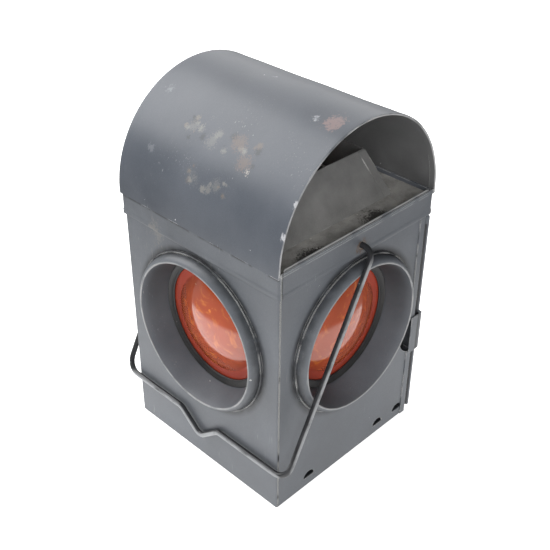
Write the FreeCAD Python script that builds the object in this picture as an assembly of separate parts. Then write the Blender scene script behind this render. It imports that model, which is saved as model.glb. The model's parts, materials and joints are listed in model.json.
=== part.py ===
"""Portable sheet-metal warning lantern with a barrel hood, four recessed lenses and a wire bail.

Millimetres.  The origin is the middle of the base, +Z is up, and the hood's barrel lies along Y.
The left lens looks along -X, the front lens along -Y, the rear lens along +Y and the door's along +X.
"""

import FreeCAD
import Part
import math
import os

V = FreeCAD.Vector

# ---------------------------------------------------------------- driving sizes

SHEET = 0.8                # gauge of every tinplate panel

# square body, the door is on the +X side; its width and height follow from the lens mounts in it
FOOT_H = 60.6              # wall below the bezels
CORNER_CLEAR = 2.1         # between the lens collars of neighbouring sides
DOOR_SETBACK = 2.5         # the +X wall stands this far inside the square
JAMB_W = 8.0               # wall left each side of the doorway
SILL_H = 12.0              # wall left below the doorway
LINTEL_H = 8.0             # wall left between the doorway and the cap band
HEM_W = 8.0                # folded edge of the front wall beside the door
NOTCH_R = 18.0             # half-moon finger notch in the front wall's edge
NOTCH_Z = 85.0             # height of the notch and of the door pull

# half-moon air holes along the foot of the front and rear walls
VENT_R = 6.0
VENT_Z = 8.5
VENTS_FROM_DOOR = (39.0, 13.0)
VENT_FROM_LEFT = 36.0

BASE_RIM_H = 6.0           # upturned edge of the base plate

# cap band round the top of the walls, with a folded lip across each gable
BAND_LAP = 16.0            # the band reaches this far down over the walls
BAND_RISE = 4.0            # and this far above them
BAND_T = 1.6
LIP_RISE = 2.0             # the gable lip stands this far above the band
LIP_T = 3.2
LIP_H = 3.6
LIP_MITRE = 9.0            # length of the slanted ends of the lip

# hood and flue
HOOD_LAP = 2.5             # the hood's skirt reaches this far down outside the band
FLUE_BASE = 120.0
FLUE_TOP = 88.0
FLUE_H = 37.0
FLUE_SEAT = 4.0            # deck left under each side of the flue
DECK_CLEAR = 0.1           # deck plate to the inside of the band

# lens mounts, the same on all four sides, built outwards from the glass
GLASS_R = 50.8
GLASS_RISE = 11.0          # height of the dome inside the ring
GLASS_RIM = 3.0
GLASS_GAP = 0.2            # glass to ring
GLASS_PLAY = 2.3           # glass to the collar round it
RING_LIP = 3.4             # the ring covers this much of the glass
RING_DISH = 2.0
THROAT_FLARE = 5.9         # the throat opens by this much from collar to mouth
BEAD_REACH = 6.7           # mouth to the outside of the bead
BEZEL_PROUD = 8.8
CUP_DEPTH = 13.3
COLLAR_DEPTH = 25.0
BEZEL_HOLE_CLEAR = 0.5
BEZEL_BELOW_BAND = 4.0     # wall left between the bead and the cap band
CLIP_WIRE_R = 1.1
CLIP_CLEAR = 0.1
CLIP_GAP_DEG = 24.0

# wire bail
WIRE_R = 2.4
PIVOT_BELOW_TOP = 8.0      # pivots below the top of the walls
PIVOT_CLEAR = 0.08
BAIL_GAP = 0.8             # between the arms and the crest of the side bezels
BAIL_BELOW_BEZEL = 20.3    # cross wire below the left bezel when the bail hangs
BAIL_WALL_GAP = 0.6        # cross wire to the left wall when the bail hangs
SHOULDER_R = 8.0           # bend from the pivot stub to the arm
CORNER_R = 12.0
HOOK_AT = 2.5              # place of the hanging notch along the cross wire
HOOK_HALF = 21.5
HOOK_DEPTH = 18.0
HOOK_R = 7.0
STUB_IN = 5.0              # pivot stub past the inside of the wall
HEAD_RIM = 1.1             # the peened end is this much wider than the wire
HEAD_T = 1.2

# door and its hinges
DOOR_DEPTH = 4.0           # turned edge of the door
DOOR_GAP = 2.0             # between the turned edge and the +X wall
DOOR_SIDE_GAP = 0.4
DOOR_FOOT = 2.0
DOOR_TOP_GAP = 3.0         # below the cap band
HINGE_PIN_R = 1.2
HINGE_CLEAR = 0.05
KNUCKLE_WALL = 1.2
LEAF_L = 18.0
LEAF_H = 30.0
LEAF_INSET = 7.0           # leaf to the nearer end of the door
KNUCKLE_GAP = 0.3
PIN_HEAD_T = 1.0
RIVET_R = 1.6
RIVET_HEAD_R = 2.6
RIVET_HEAD_H = 1.1
PULL_H = 37.0
PULL_LAP = 7.0             # reach of the pull over the front wall
PULL_FACE = 12.0           # reach of the pull across the door
PULL_CLEAR = 0.4

# oil font, wick burner and fence
FONT_R = 46.0
FONT_H = 50.0
FONT_SHOULDER = 6.0        # height of the coned shoulder
FONT_CROWN = 8.0           # flat top left round the neck
NECK_R = 12.0
NECK_H = 7.0
FENCE_H = 9.0
FENCE_GAP = 0.5
COLLAR_WALL = 3.0
COLLAR_H = 8.0
COLLAR_CLEAR = 0.05
COLLAR_LIFT = 0.3          # collar above the font and over the neck
COLLAR_FLUTES = 28
COLLAR_FLUTE_R = 0.6
GALLERY_PLAY = 1.7         # spur wheels to the inside of the gallery
GALLERY_H = 16.0
GALLERY_HOLES = 8
GALLERY_HOLE_R = 1.5
SLEEVE_L = 6.0             # bearing sleeve of the shaft
DOME_H = 13.0
DOME_SLOT_W = 6.0
WICK_W = 12.8
WICK_T = 2.6
WICK_CLEAR = 0.3
WICK_TUBE_T = 0.5
WICK_TUBE_RISE = 16.2      # tube above the dome
WICK_ABOVE = 3.0
WICK_BELOW = 36.0          # wick hanging below the neck, inside the font
SHAFT_R = 1.2
SHAFT_CLEAR = 0.05
SPUR_R = 4.0
SPUR_TOOTH = 0.9
SPUR_TEETH = 10
SPUR_T = 1.6
SPUR_PITCH = 7.0
KNOB_R = 8.0
KNOB_T = 3.0
KNOB_OUT = 21.0            # hand wheel beyond the gallery
KNOB_FLUTES = 18
KNOB_FLUTE_R = 0.5

# ---------------------------------------------------------------- sizes that follow

CUP_R = GLASS_R + GLASS_PLAY
MOUTH_R = CUP_R + THROAT_FLARE
BEZEL_R = MOUTH_R + BEAD_REACH
BODY_H = FOOT_H + 2 * BEZEL_R + BEZEL_BELOW_BAND + BAND_LAP
HALF = CUP_R + SHEET + COLLAR_DEPTH + CORNER_CLEAR
BODY_W = 2 * HALF
DOORSIDE = HALF - DOOR_SETBACK
BAND_Z = BODY_H - BAND_LAP
BAND_TOP = BODY_H + BAND_RISE
BAND_HALF = HALF + BAND_T
LIP_TOP = BAND_TOP + LIP_RISE
HOOD_OUT = BAND_HALF + SHEET
FLUE_HOLE = FLUE_BASE - 2 * FLUE_SEAT
PIVOT_Z = BODY_H - PIVOT_BELOW_TOP

DOOR_IN = DOORSIDE + DOOR_GAP
DOOR_OUT = DOOR_IN + DOOR_DEPTH
DOOR_HALF = HALF - DOOR_SIDE_GAP
DOOR_TOP = BAND_Z - DOOR_TOP_GAP
KNUCKLE_R = HINGE_PIN_R + KNUCKLE_WALL
HINGE_X = DOOR_OUT + SHEET - KNUCKLE_R
HINGE_Y = HALF + KNUCKLE_R
HINGE_Z = (DOOR_FOOT + LEAF_INSET + LEAF_H / 2, DOOR_TOP - LEAF_INSET - LEAF_H / 2)

RING_R = GLASS_R - RING_LIP
LENS_Z = FOOT_H + BEZEL_R
BAIL_FOOT = FOOT_H - BAIL_BELOW_BEZEL
THROAT_SLOPE = THROAT_FLARE / (BEZEL_PROUD + CUP_DEPTH)
THROAT_T = SHEET * math.hypot(1.0, THROAT_SLOPE)
BEZEL_HOLE_R = MOUTH_R - THROAT_SLOPE * BEZEL_PROUD + THROAT_T + BEZEL_HOLE_CLEAR
GLASS_SEAT = CUP_DEPTH + RING_DISH + SHEET + GLASS_GAP
ARM_Y = HALF + BEZEL_PROUD + WIRE_R + BAIL_GAP

FONT_TOP = SHEET + FONT_H
COLLAR_R = NECK_R + COLLAR_WALL
SHAFT_Y = -(WICK_T / 2 + WICK_CLEAR + SPUR_R)
GALLERY_R = math.hypot((SPUR_PITCH + SPUR_T) / 2, SPUR_R - SHAFT_Y) + GALLERY_PLAY + SHEET
GALLERY_Z = FONT_TOP + COLLAR_H
DOME_Z = GALLERY_Z + GALLERY_H
WICK_TUBE_TOP = DOME_Z + DOME_H + WICK_TUBE_RISE
SHAFT_Z = GALLERY_Z + GALLERY_H / 2
KNOB_X = GALLERY_R + KNOB_OUT


# ---------------------------------------------------------------- helpers

def block(x0, x1, y0, y1, z0, z1):
    """Box between two opposite corners."""
    return Part.makeBox(x1 - x0, y1 - y0, z1 - z0, V(x0, y0, z0))


def prism(points, direction):
    """Straight extrusion of a closed outline."""
    return Part.Face(Part.makePolygon(points + [points[0]])).extrude(direction)


def spun(edges):
    """Solid of revolution about Z from edges in the XZ half plane."""
    face = Part.Face(Part.Wire(Part.__sortEdges__(edges)))
    return face.revolve(V(0, 0, 0), V(0, 0, 1), 360)


def spun_outline(points):
    """Solid of revolution about Z from (radius, height) corners."""
    corners = [V(r, 0, h) for r, h in points]
    return spun([Part.LineSegment(a, b).toShape() for a, b in zip(corners, corners[1:] + corners[:1])])


def tube(r_in, r_out, z0, z1):
    """Round tube standing on Z."""
    outer = Part.makeCylinder(r_out, z1 - z0, V(0, 0, z0))
    return outer.cut(Part.makeCylinder(r_in, z1 - z0, V(0, 0, z0)))


def square_tube(half_in, half_out, z0, z1):
    """Square tube standing on Z."""
    outer = block(-half_out, half_out, -half_out, half_out, z0, z1)
    return outer.cut(block(-half_in, half_in, -half_in, half_in, z0 - 1, z1 + 1))


def facing(shape, side):
    """Turns a piece built along +Z at the origin to look out of one side of the lantern."""
    angle, distance = SIDES[side]
    placed = shape.copy()
    placed.rotate(V(0, 0, 0), V(0, 1, 0), 90)
    placed.translate(V(distance, 0, LENS_Z))
    placed.rotate(V(0, 0, 0), V(0, 0, 1), angle)
    return placed


def save(name, shape):
    """Writes one node, a single solid or a group of separate ones."""
    if not shape.isValid():
        raise ValueError(name + " is not a valid shape")
    if len(shape.Solids) == 1:
        shape = shape.Solids[0]
    shape.exportStep(os.path.join("parts", name + ".step"))
    print(name, len(shape.Solids), round(shape.Volume, 1))


# side name: turn about Z from +X, distance of the panel that carries the bezel
SIDES = {
    "left": (180, HALF),
    "front": (270, HALF),
    "rear": (90, HALF),
    "door": (0, DOOR_OUT),
}
REACH = 40.0               # length of cutting tools that pass right through a panel


# ---------------------------------------------------------------- body

def lens_hole(side):
    """Cutter for the round hole that takes a bezel."""
    return facing(Part.makeCylinder(BEZEL_HOLE_R, REACH, V(0, 0, -REACH / 2)), side)


def vent_holes():
    """Half-moon cutters through the front and rear walls, flat side down."""
    cutters = []
    places = [-HALF + VENT_FROM_LEFT] + [DOORSIDE - inset for inset in VENTS_FROM_DOOR]
    for x in places:
        drum = Part.makeCylinder(VENT_R, 2 * BODY_W, V(x, -BODY_W, VENT_Z), V(0, 1, 0))
        cutters.append(drum.cut(block(x - VENT_R, x + VENT_R, -BODY_W, BODY_W, VENT_Z - VENT_R, VENT_Z)))
    return cutters


def pivot_hole():
    """Cutter for both bail holes."""
    return Part.makeCylinder(WIRE_R + PIVOT_CLEAR, 2 * BODY_W, V(0, -BODY_W, PIVOT_Z), V(0, 1, 0))


def finger_notch():
    """Half-moon cutter at the front wall's free edge."""
    return Part.makeCylinder(NOTCH_R, JAMB_W + 2, V(DOORSIDE, -HALF - 2, NOTCH_Z), V(0, 1, 0))


def front_wall():
    """Front panel with its lens hole, air holes, finger notch and folded hem."""
    wall = block(-HALF, DOORSIDE, -HALF, -HALF + SHEET, 0, BODY_H)
    hem = block(DOORSIDE - HEM_W, DOORSIDE, -HALF - SHEET, -HALF, 0, BAND_Z - SHEET)
    wall = wall.fuse(hem)
    for cutter in [lens_hole("front"), pivot_hole(), finger_notch()] + vent_holes():
        wall = wall.cut(cutter)
    return wall.removeSplitter()


def rear_wall():
    """Rear panel with its lens hole, air holes and the rivet holes of the hinges."""
    wall = block(-HALF, DOORSIDE, HALF - SHEET, HALF, 0, BODY_H)
    for cutter in [lens_hole("rear"), pivot_hole()] + vent_holes():
        wall = wall.cut(cutter)
    return drilled(wall, body_rivet_places(), V(0, 1, 0))


def left_wall():
    """Panel opposite the door."""
    inside = HALF - SHEET
    return block(-HALF, -HALF + SHEET, -inside, inside, 0, BODY_H).cut(lens_hole("left"))


def door_frame():
    """Narrow frame round the doorway, notched behind the door pull."""
    inside = HALF - SHEET
    frame = block(DOORSIDE - SHEET, DOORSIDE, -inside, inside, 0, BODY_H)
    way = HALF - JAMB_W
    frame = frame.cut(block(DOORSIDE - 2 * SHEET, DOORSIDE + SHEET, -way, way, SILL_H, BAND_Z - LINTEL_H))
    return frame.cut(finger_notch())


def base_plate():
    """Shallow tray that closes the foot of the walls."""
    west = -HALF + SHEET
    east = DOORSIDE - SHEET
    side = HALF - SHEET
    tray = block(west, east, -side, side, 0, BASE_RIM_H)
    return tray.cut(block(west + SHEET, east - SHEET, -side + SHEET, side - SHEET, SHEET, BASE_RIM_H + 1))


def cap_band():
    """Band round the top of the walls, with a mitred lip across each gable."""
    band = square_tube(HALF, BAND_HALF, BAND_Z, BAND_TOP)
    for way in (-1, 1):
        outer = BAND_HALF
        inner = BAND_HALF - LIP_T
        z0 = LIP_TOP - LIP_H
        long_half = BAND_HALF - SHEET
        short_half = long_half - LIP_MITRE
        outline = [
            V(-long_half, way * outer, z0),
            V(long_half, way * outer, z0),
            V(short_half, way * inner, z0),
            V(-short_half, way * inner, z0),
        ]
        band = band.fuse(prism(outline, V(0, 0, LIP_H)))
    return band.cut(pivot_hole()).removeSplitter()


def top_deck():
    """Flat plate on top of the walls with the square flue hole."""
    half = HALF - DECK_CLEAR
    plate = block(-half, half, -half, half, BODY_H, BODY_H + SHEET)
    hole = FLUE_HOLE / 2
    return plate.cut(block(-hole, hole, -hole, hole, BODY_H - 1, BODY_H + 2))


def square_wire(half, z):
    """Square outline, level at one height."""
    return Part.makePolygon([
        V(-half, -half, z), V(half, -half, z), V(half, half, z), V(-half, half, z), V(-half, -half, z)])


def chimney():
    """Square tapering flue that stands on the deck, open at both ends."""
    z0 = BODY_H + SHEET
    z1 = z0 + FLUE_H
    outer = Part.makeLoft([square_wire(FLUE_BASE / 2, z0), square_wire(FLUE_TOP / 2, z1)], True, True)
    wall = SHEET * math.hypot(1.0, (FLUE_BASE - FLUE_TOP) / 2 / FLUE_H)
    inner = Part.makeLoft([
        square_wire(FLUE_BASE / 2 - wall, z0), square_wire(FLUE_TOP / 2 - wall, z1)], True, True)
    return outer.cut(inner)


def hood():
    """Half-barrel sheet, open at both gables, lapped over the band."""
    length = 2 * BAND_HALF
    barrel = Part.makeCylinder(HOOD_OUT, length, V(0, -BAND_HALF, BAND_TOP), V(0, 1, 0))
    barrel = barrel.cut(Part.makeCylinder(BAND_HALF, length, V(0, -BAND_HALF, BAND_TOP), V(0, 1, 0)))
    big = 2 * BODY_W
    barrel = barrel.cut(block(-big, big, -big, big, BAND_TOP - big, BAND_TOP))
    skirt_z = BAND_TOP - HOOD_LAP
    for x0, x1 in ((-HOOD_OUT, -BAND_HALF), (BAND_HALF, HOOD_OUT)):
        barrel = barrel.fuse(block(x0, x1, -BAND_HALF, BAND_HALF, skirt_z, BAND_TOP))
    return barrel.removeSplitter()


# ---------------------------------------------------------------- lens mounts

def bezel():
    """Spun ring: a rolled bead outside, a tapering throat and a straight collar inside."""
    reach = BEZEL_R - MOUTH_R
    bead_r = (reach ** 2 + BEZEL_PROUD ** 2) / (2 * BEZEL_PROUD)
    centre_h = BEZEL_PROUD - bead_r
    ring_in = bead_r - SHEET
    tilt_out = math.asin(-centre_h / bead_r)
    tilt_in = math.asin(-centre_h / ring_in)

    def on_arc(radius, angle):
        return V(MOUTH_R + radius * math.cos(angle), 0, centre_h + radius * math.sin(angle))

    top = math.pi / 2
    edges = [
        Part.Arc(on_arc(bead_r, tilt_out), on_arc(bead_r, (tilt_out + top) / 2), on_arc(bead_r, top)).toShape(),
        Part.LineSegment(on_arc(bead_r, top), on_arc(ring_in, top)).toShape(),
        Part.Arc(on_arc(ring_in, top), on_arc(ring_in, (tilt_in + top) / 2), on_arc(ring_in, tilt_in)).toShape(),
        Part.LineSegment(on_arc(ring_in, tilt_in), on_arc(bead_r, tilt_out)).toShape(),
    ]
    bead = spun(edges)
    throat = spun_outline([
        (MOUTH_R, BEZEL_PROUD),
        (MOUTH_R + THROAT_T, BEZEL_PROUD - SHEET),
        (CUP_R + THROAT_T, -CUP_DEPTH),
        (CUP_R + THROAT_T, -COLLAR_DEPTH),
        (CUP_R, -COLLAR_DEPTH),
        (CUP_R, -CUP_DEPTH),
    ])
    return bead.fuse(throat).removeSplitter()


def lens_ring():
    """Dished retaining ring seen round the glass."""
    return spun_outline([
        (CUP_R, -CUP_DEPTH),
        (CUP_R, -CUP_DEPTH - SHEET),
        (RING_R, -CUP_DEPTH - RING_DISH - SHEET),
        (RING_R, -CUP_DEPTH - RING_DISH),
    ])


def lens():
    """Bull's-eye glass, domed outside and flat inside."""
    dome_r = (RING_R ** 2 + GLASS_RISE ** 2) / (2 * GLASS_RISE)
    apex = -GLASS_SEAT + GLASS_RISE
    centre = apex - dome_r
    edge_h = centre + math.sqrt(dome_r ** 2 - GLASS_R ** 2)
    half_r = GLASS_R / 2
    half_h = centre + math.sqrt(dome_r ** 2 - half_r ** 2)
    back = edge_h - GLASS_RIM
    edges = [
        Part.Arc(V(0, 0, apex), V(half_r, 0, half_h), V(GLASS_R, 0, edge_h)).toShape(),
        Part.LineSegment(V(GLASS_R, 0, edge_h), V(GLASS_R, 0, back)).toShape(),
        Part.LineSegment(V(GLASS_R, 0, back), V(0, 0, back)).toShape(),
        Part.LineSegment(V(0, 0, back), V(0, 0, apex)).toShape(),
    ]
    return spun(edges), back


def lens_clip(back):
    """Split spring wire that holds the glass from inside."""
    ring_r = CUP_R - CLIP_CLEAR - CLIP_WIRE_R
    height = back - CLIP_WIRE_R
    section = Part.Wire(Part.Circle(V(ring_r, 0, height), V(0, 1, 0), CLIP_WIRE_R).toShape())
    return Part.Face(section).revolve(V(0, 0, 0), V(0, 0, 1), 360 - CLIP_GAP_DEG)


# ---------------------------------------------------------------- bail

def rounded_path(points, radii):
    """Wire of straight runs joined by tangent arcs at the inner points."""
    edges = []
    start = points[0]
    for before, corner, after, radius in zip(points, points[1:], points[2:], radii):
        into = (corner - before).normalize()
        out = (after - corner).normalize()
        turn = into.getAngle(out)
        trim = radius * math.tan(turn / 2)
        first = corner - into * trim
        last = corner + out * trim
        inward = (out - into).normalize()
        middle = corner + inward * (radius / math.cos(turn / 2) - radius)
        edges.append(Part.LineSegment(start, first).toShape())
        edges.append(Part.Arc(first, middle, last).toShape())
        start = last
    edges.append(Part.LineSegment(start, points[-1]).toShape())
    return Part.Wire(edges)


def bail():
    """Round wire bent to two arms and a cross wire, with a hanging notch turned straight down."""
    rest_x = HALF + BAIL_WALL_GAP + WIRE_R
    drop = math.hypot(rest_x, PIVOT_Z - BAIL_FOOT)
    along = V(-rest_x, 0, BAIL_FOOT - PIVOT_Z).normalize()
    pivot = V(0, 0, PIVOT_Z)

    def place(y, down):
        return pivot + V(0, y, 0) + along * down

    inner = HALF - SHEET - STUB_IN
    points = [
        place(-inner, 0),
        place(-ARM_Y, 0),
        place(-ARM_Y, drop),
        place(HOOK_AT - HOOK_HALF, drop),
        place(HOOK_AT, drop) - V(0, 0, HOOK_DEPTH),
        place(HOOK_AT + HOOK_HALF, drop),
        place(ARM_Y, drop),
        place(ARM_Y, 0),
        place(inner, 0),
    ]
    radii = [SHOULDER_R, CORNER_R, HOOK_R, HOOK_R, HOOK_R, CORNER_R, SHOULDER_R]
    path = rounded_path(points, radii)
    section = Part.Wire(Part.Circle(points[0], V(0, 1, 0), WIRE_R).toShape())
    wire = path.makePipeShell([section], True, True)
    for way in (-1, 1):
        wire = wire.fuse(Part.makeCylinder(WIRE_R + HEAD_RIM, HEAD_T, V(0, way * inner, PIVOT_Z), V(0, -way, 0)))
    return wire


# ---------------------------------------------------------------- door

def door_panel():
    """Shallow pressed door with turned edges and the lens hole."""
    door = block(DOOR_IN, DOOR_OUT, -DOOR_HALF, DOOR_HALF, DOOR_FOOT, DOOR_TOP)
    hollow = block(
        DOOR_IN - 1, DOOR_OUT - SHEET, -DOOR_HALF + SHEET, DOOR_HALF - SHEET,
        DOOR_FOOT + SHEET, DOOR_TOP - SHEET)
    return drilled(door.cut(hollow).cut(lens_hole("door")), door_rivet_places(), V(1, 0, 0))


def door_pull():
    """Bent strip that wraps the door's free edge and laps over the front wall."""
    z0 = NOTCH_Z - PULL_H / 2
    z1 = NOTCH_Z + PULL_H / 2
    wall_y = -HALF - SHEET - PULL_CLEAR
    lap = block(DOORSIDE - PULL_LAP, DOOR_OUT + SHEET, wall_y - SHEET, wall_y, z0, z1)
    face = block(DOOR_OUT, DOOR_OUT + SHEET, wall_y - SHEET, -DOOR_HALF + PULL_FACE, z0, z1)
    fill = block(DOOR_IN + SHEET, DOOR_OUT, wall_y, -DOOR_HALF, z0, z1)
    pull = lap.fuse(face).fuse(fill).removeSplitter()
    return drilled(pull, door_rivet_places(), V(1, 0, 0))


def hinge_spans(middle):
    """Heights of the lower, middle and upper knuckles of one hinge."""
    low = middle - LEAF_H / 2
    third = LEAF_H / 3
    body_spans = [(low, low + third - KNUCKLE_GAP), (low + 2 * third + KNUCKLE_GAP, low + LEAF_H)]
    door_spans = [(low + third, low + 2 * third)]
    return body_spans, door_spans


def hinge_bore(middle):
    """Cutter for the pin through a hinge."""
    return Part.makeCylinder(HINGE_PIN_R + HINGE_CLEAR, LEAF_H + 2, V(HINGE_X, HINGE_Y, middle - LEAF_H / 2 - 1))


def body_leaf(middle):
    """Fixed leaf on the rear wall, with two knuckles."""
    spans = hinge_spans(middle)[0]
    plate_y = HALF + SHEET
    shape = block(DOORSIDE - LEAF_L, DOORSIDE, HALF, plate_y, middle - LEAF_H / 2, middle + LEAF_H / 2)
    for low, high in spans:
        strip = block(DOORSIDE, HINGE_X, HALF, plate_y, low, high)
        barrel = Part.makeCylinder(KNUCKLE_R, high - low, V(HINGE_X, HINGE_Y, low))
        shape = shape.fuse(strip).fuse(barrel)
    leaf = shape.cut(hinge_bore(middle)).removeSplitter()
    return drilled(leaf, body_rivet_places(), V(0, 1, 0))


def door_leaf(middle):
    """Moving leaf on the door's face, with one knuckle."""
    low, high = hinge_spans(middle)[1][0]
    near = DOOR_HALF - 2 * SHEET
    plate = block(
        DOOR_OUT, DOOR_OUT + SHEET, near - LEAF_L, near, middle - LEAF_H / 2, middle + LEAF_H / 2)
    strip = block(DOOR_OUT, DOOR_OUT + SHEET, near, HINGE_Y, low, high)
    barrel = Part.makeCylinder(KNUCKLE_R, high - low, V(HINGE_X, HINGE_Y, low))
    leaf = plate.fuse(strip).fuse(barrel).cut(hinge_bore(middle)).removeSplitter()
    return drilled(leaf, door_rivet_places(), V(1, 0, 0))


def hinge_pins():
    """One headed pin for each hinge, fast in the body leaf."""
    pins = []
    for middle in HINGE_Z:
        low = middle - LEAF_H / 2
        pin = Part.makeCylinder(HINGE_PIN_R, LEAF_H + PIN_HEAD_T, V(HINGE_X, HINGE_Y, low - PIN_HEAD_T))
        head = Part.makeCylinder(KNUCKLE_R - KNUCKLE_WALL / 4, PIN_HEAD_T, V(HINGE_X, HINGE_Y, low + LEAF_H))
        pins.append(pin.fuse(head).removeSplitter())
    return Part.Compound(pins)


def rivet(at, out, grip):
    """Domed rivet whose head stands on a face and whose shank runs back through the sheets."""
    sphere_r = (RIVET_HEAD_R ** 2 + RIVET_HEAD_H ** 2) / (2 * RIVET_HEAD_H)
    ball = Part.makeSphere(sphere_r, at - out * (sphere_r - RIVET_HEAD_H))
    head = ball.common(Part.makeCylinder(RIVET_HEAD_R, 2 * RIVET_HEAD_H, at, out))
    shank = Part.makeCylinder(RIVET_R, grip, at - out * grip, out)
    return head.fuse(shank).removeSplitter()


def rivet_hole(at, out):
    """Cutter for the shank of one rivet."""
    return Part.makeCylinder(RIVET_R, 6 * SHEET, at - out * 4 * SHEET, out)


def leaf_rivet_places(middle):
    """Heights of the two rivets of a leaf."""
    return (middle - LEAF_H / 4, middle + LEAF_H / 4)


def body_rivet_places():
    """Feet of the rivet heads on the fixed leaves."""
    x = DOORSIDE - LEAF_L / 2
    return [V(x, HALF + SHEET, z) for middle in HINGE_Z for z in leaf_rivet_places(middle)]


def door_rivet_places():
    """Feet of the rivet heads on the moving leaves and on the pull."""
    face = DOOR_OUT + SHEET
    leaf_y = DOOR_HALF - 2 * SHEET - LEAF_L / 2
    pull_y = -DOOR_HALF + PULL_FACE / 2 + SHEET
    places = [V(face, leaf_y, z) for middle in HINGE_Z for z in leaf_rivet_places(middle)]
    return places + [V(face, pull_y, NOTCH_Z + way * PULL_H / 4) for way in (-1, 1)]


def drilled(shape, places, out):
    """The shape with a rivet hole at each place."""
    for at in places:
        shape = shape.cut(rivet_hole(at, out))
    return shape


def rivets(places, out):
    """A group of separate rivets through two sheets."""
    return Part.Compound([rivet(at, out, 2 * SHEET) for at in places])


# ---------------------------------------------------------------- oil font and burner

def oil_font():
    """Round tinplate oil tank with a coned shoulder and a hole under the neck."""
    bottom = SHEET
    outer = spun_outline([
        (0, bottom), (FONT_R, bottom), (FONT_R, FONT_TOP - FONT_SHOULDER),
        (NECK_R + FONT_CROWN, FONT_TOP), (0, FONT_TOP)])
    inner = spun_outline([
        (0, bottom + SHEET), (FONT_R - SHEET, bottom + SHEET),
        (FONT_R - SHEET, FONT_TOP - FONT_SHOULDER - SHEET / 2),
        (NECK_R + FONT_CROWN - SHEET, FONT_TOP - SHEET), (0, FONT_TOP - SHEET)])
    mouth = Part.makeCylinder(NECK_R - SHEET, 4 * SHEET, V(0, 0, FONT_TOP - 2 * SHEET))
    return outer.cut(inner).cut(mouth)


def font_neck():
    """Short brass neck that the burner screws on."""
    return tube(NECK_R - SHEET, NECK_R, FONT_TOP, FONT_TOP + NECK_H)


def font_fence():
    """Three-sided strip on the base that keeps the font in the middle, open towards the door."""
    inner = FONT_R + FENCE_GAP
    outer = inner + SHEET
    fence = block(-outer, FONT_R, -outer, outer, SHEET, SHEET + FENCE_H)
    return fence.cut(block(-inner, FONT_R + 1, -inner, inner, 0, SHEET + FENCE_H + 1))


def burner_collar():
    """Knurled screw ring of the burner, turning on the neck."""
    bore = NECK_R + COLLAR_CLEAR
    foot = FONT_TOP + COLLAR_LIFT
    over = FONT_TOP + NECK_H + COLLAR_LIFT
    ledge = NECK_R - SHEET
    ring = spun_outline([
        (bore, foot), (COLLAR_R, foot), (COLLAR_R, GALLERY_Z), (ledge, GALLERY_Z), (ledge, over), (bore, over)])
    for k in range(COLLAR_FLUTES):
        angle = 2 * math.pi * k / COLLAR_FLUTES
        at = V(COLLAR_R * math.cos(angle), COLLAR_R * math.sin(angle), FONT_TOP)
        ring = ring.cut(Part.makeCylinder(COLLAR_FLUTE_R, COLLAR_H, at))
    return ring


def tube_outline(extra):
    """Half sizes of the wick tube's section, grown by extra."""
    return WICK_W / 2 + WICK_CLEAR + extra, WICK_T / 2 + WICK_CLEAR + extra


def burner_body():
    """Brass gallery above the collar: a drum with air holes, a floor and the shaft's bearing."""
    drum = tube(GALLERY_R - SHEET, GALLERY_R, GALLERY_Z, GALLERY_Z + GALLERY_H)
    floor = Part.makeCylinder(GALLERY_R - SHEET / 2, SHEET, V(0, 0, GALLERY_Z))
    hx, hy = tube_outline(WICK_TUBE_T)
    floor = floor.cut(block(-hx, hx, -hy, hy, GALLERY_Z - 1, GALLERY_Z + 2))
    body = drum.fuse(floor)
    for k in range(GALLERY_HOLES):
        angle = 2 * math.pi * (k + 0.5) / GALLERY_HOLES
        way = V(math.cos(angle), math.sin(angle), 0)
        start = way * (GALLERY_R / 2) + V(0, 0, DOME_Z - 2 * GALLERY_HOLE_R)
        body = body.cut(Part.makeCylinder(GALLERY_HOLE_R, GALLERY_R, start, way))
    wall_x = math.sqrt(GALLERY_R ** 2 - SHAFT_Y ** 2)
    sleeve = Part.makeCylinder(2 * SHAFT_R, SLEEVE_L, V(wall_x - SHEET, SHAFT_Y, SHAFT_Z), V(1, 0, 0))
    body = body.fuse(sleeve.cut(Part.makeCylinder(GALLERY_R - SHEET, GALLERY_H, V(0, 0, GALLERY_Z))))
    bore = Part.makeCylinder(SHAFT_R + SHAFT_CLEAR, GALLERY_R + SLEEVE_L, V(0, SHAFT_Y, SHAFT_Z), V(1, 0, 0))
    return body.cut(bore).removeSplitter()


def burner_dome():
    """Slotted deflector over the gallery that spreads the flame."""
    z0 = DOME_Z
    ball_r = (GALLERY_R ** 2 + DOME_H ** 2) / (2 * DOME_H)
    centre = V(0, 0, z0 + DOME_H - ball_r)
    shell = Part.makeSphere(ball_r, centre).cut(Part.makeSphere(ball_r - SHEET, centre))
    shell = shell.common(Part.makeCylinder(GALLERY_R + 1, DOME_H + 1, V(0, 0, z0)))
    hx, hy = tube_outline(WICK_TUBE_T)
    slot_half = max(DOME_SLOT_W / 2, hy + 0.2)
    return shell.cut(block(-hx - 1, hx + 1, -slot_half, slot_half, z0 + DOME_H / 2, z0 + 2 * DOME_H))


def wick_tube():
    """Flat tube that carries the wick, with a window for the spur wheels."""
    hx, hy = tube_outline(WICK_TUBE_T)
    ix, iy = tube_outline(0)
    outer = block(-hx, hx, -hy, hy, FONT_TOP + SHEET, WICK_TUBE_TOP)
    outer = outer.cut(block(-ix, ix, -iy, iy, FONT_TOP, WICK_TUBE_TOP + 1))
    reach = SPUR_R + 1
    return outer.cut(block(-ix, ix, -hy - 1, 0, SHAFT_Z - reach, SHAFT_Z + reach))


def wick():
    """Flat woven wick, from the oil to just above the tube."""
    return block(
        -WICK_W / 2, WICK_W / 2, -WICK_T / 2, WICK_T / 2,
        FONT_TOP - WICK_BELOW, WICK_TUBE_TOP + WICK_ABOVE)


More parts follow.
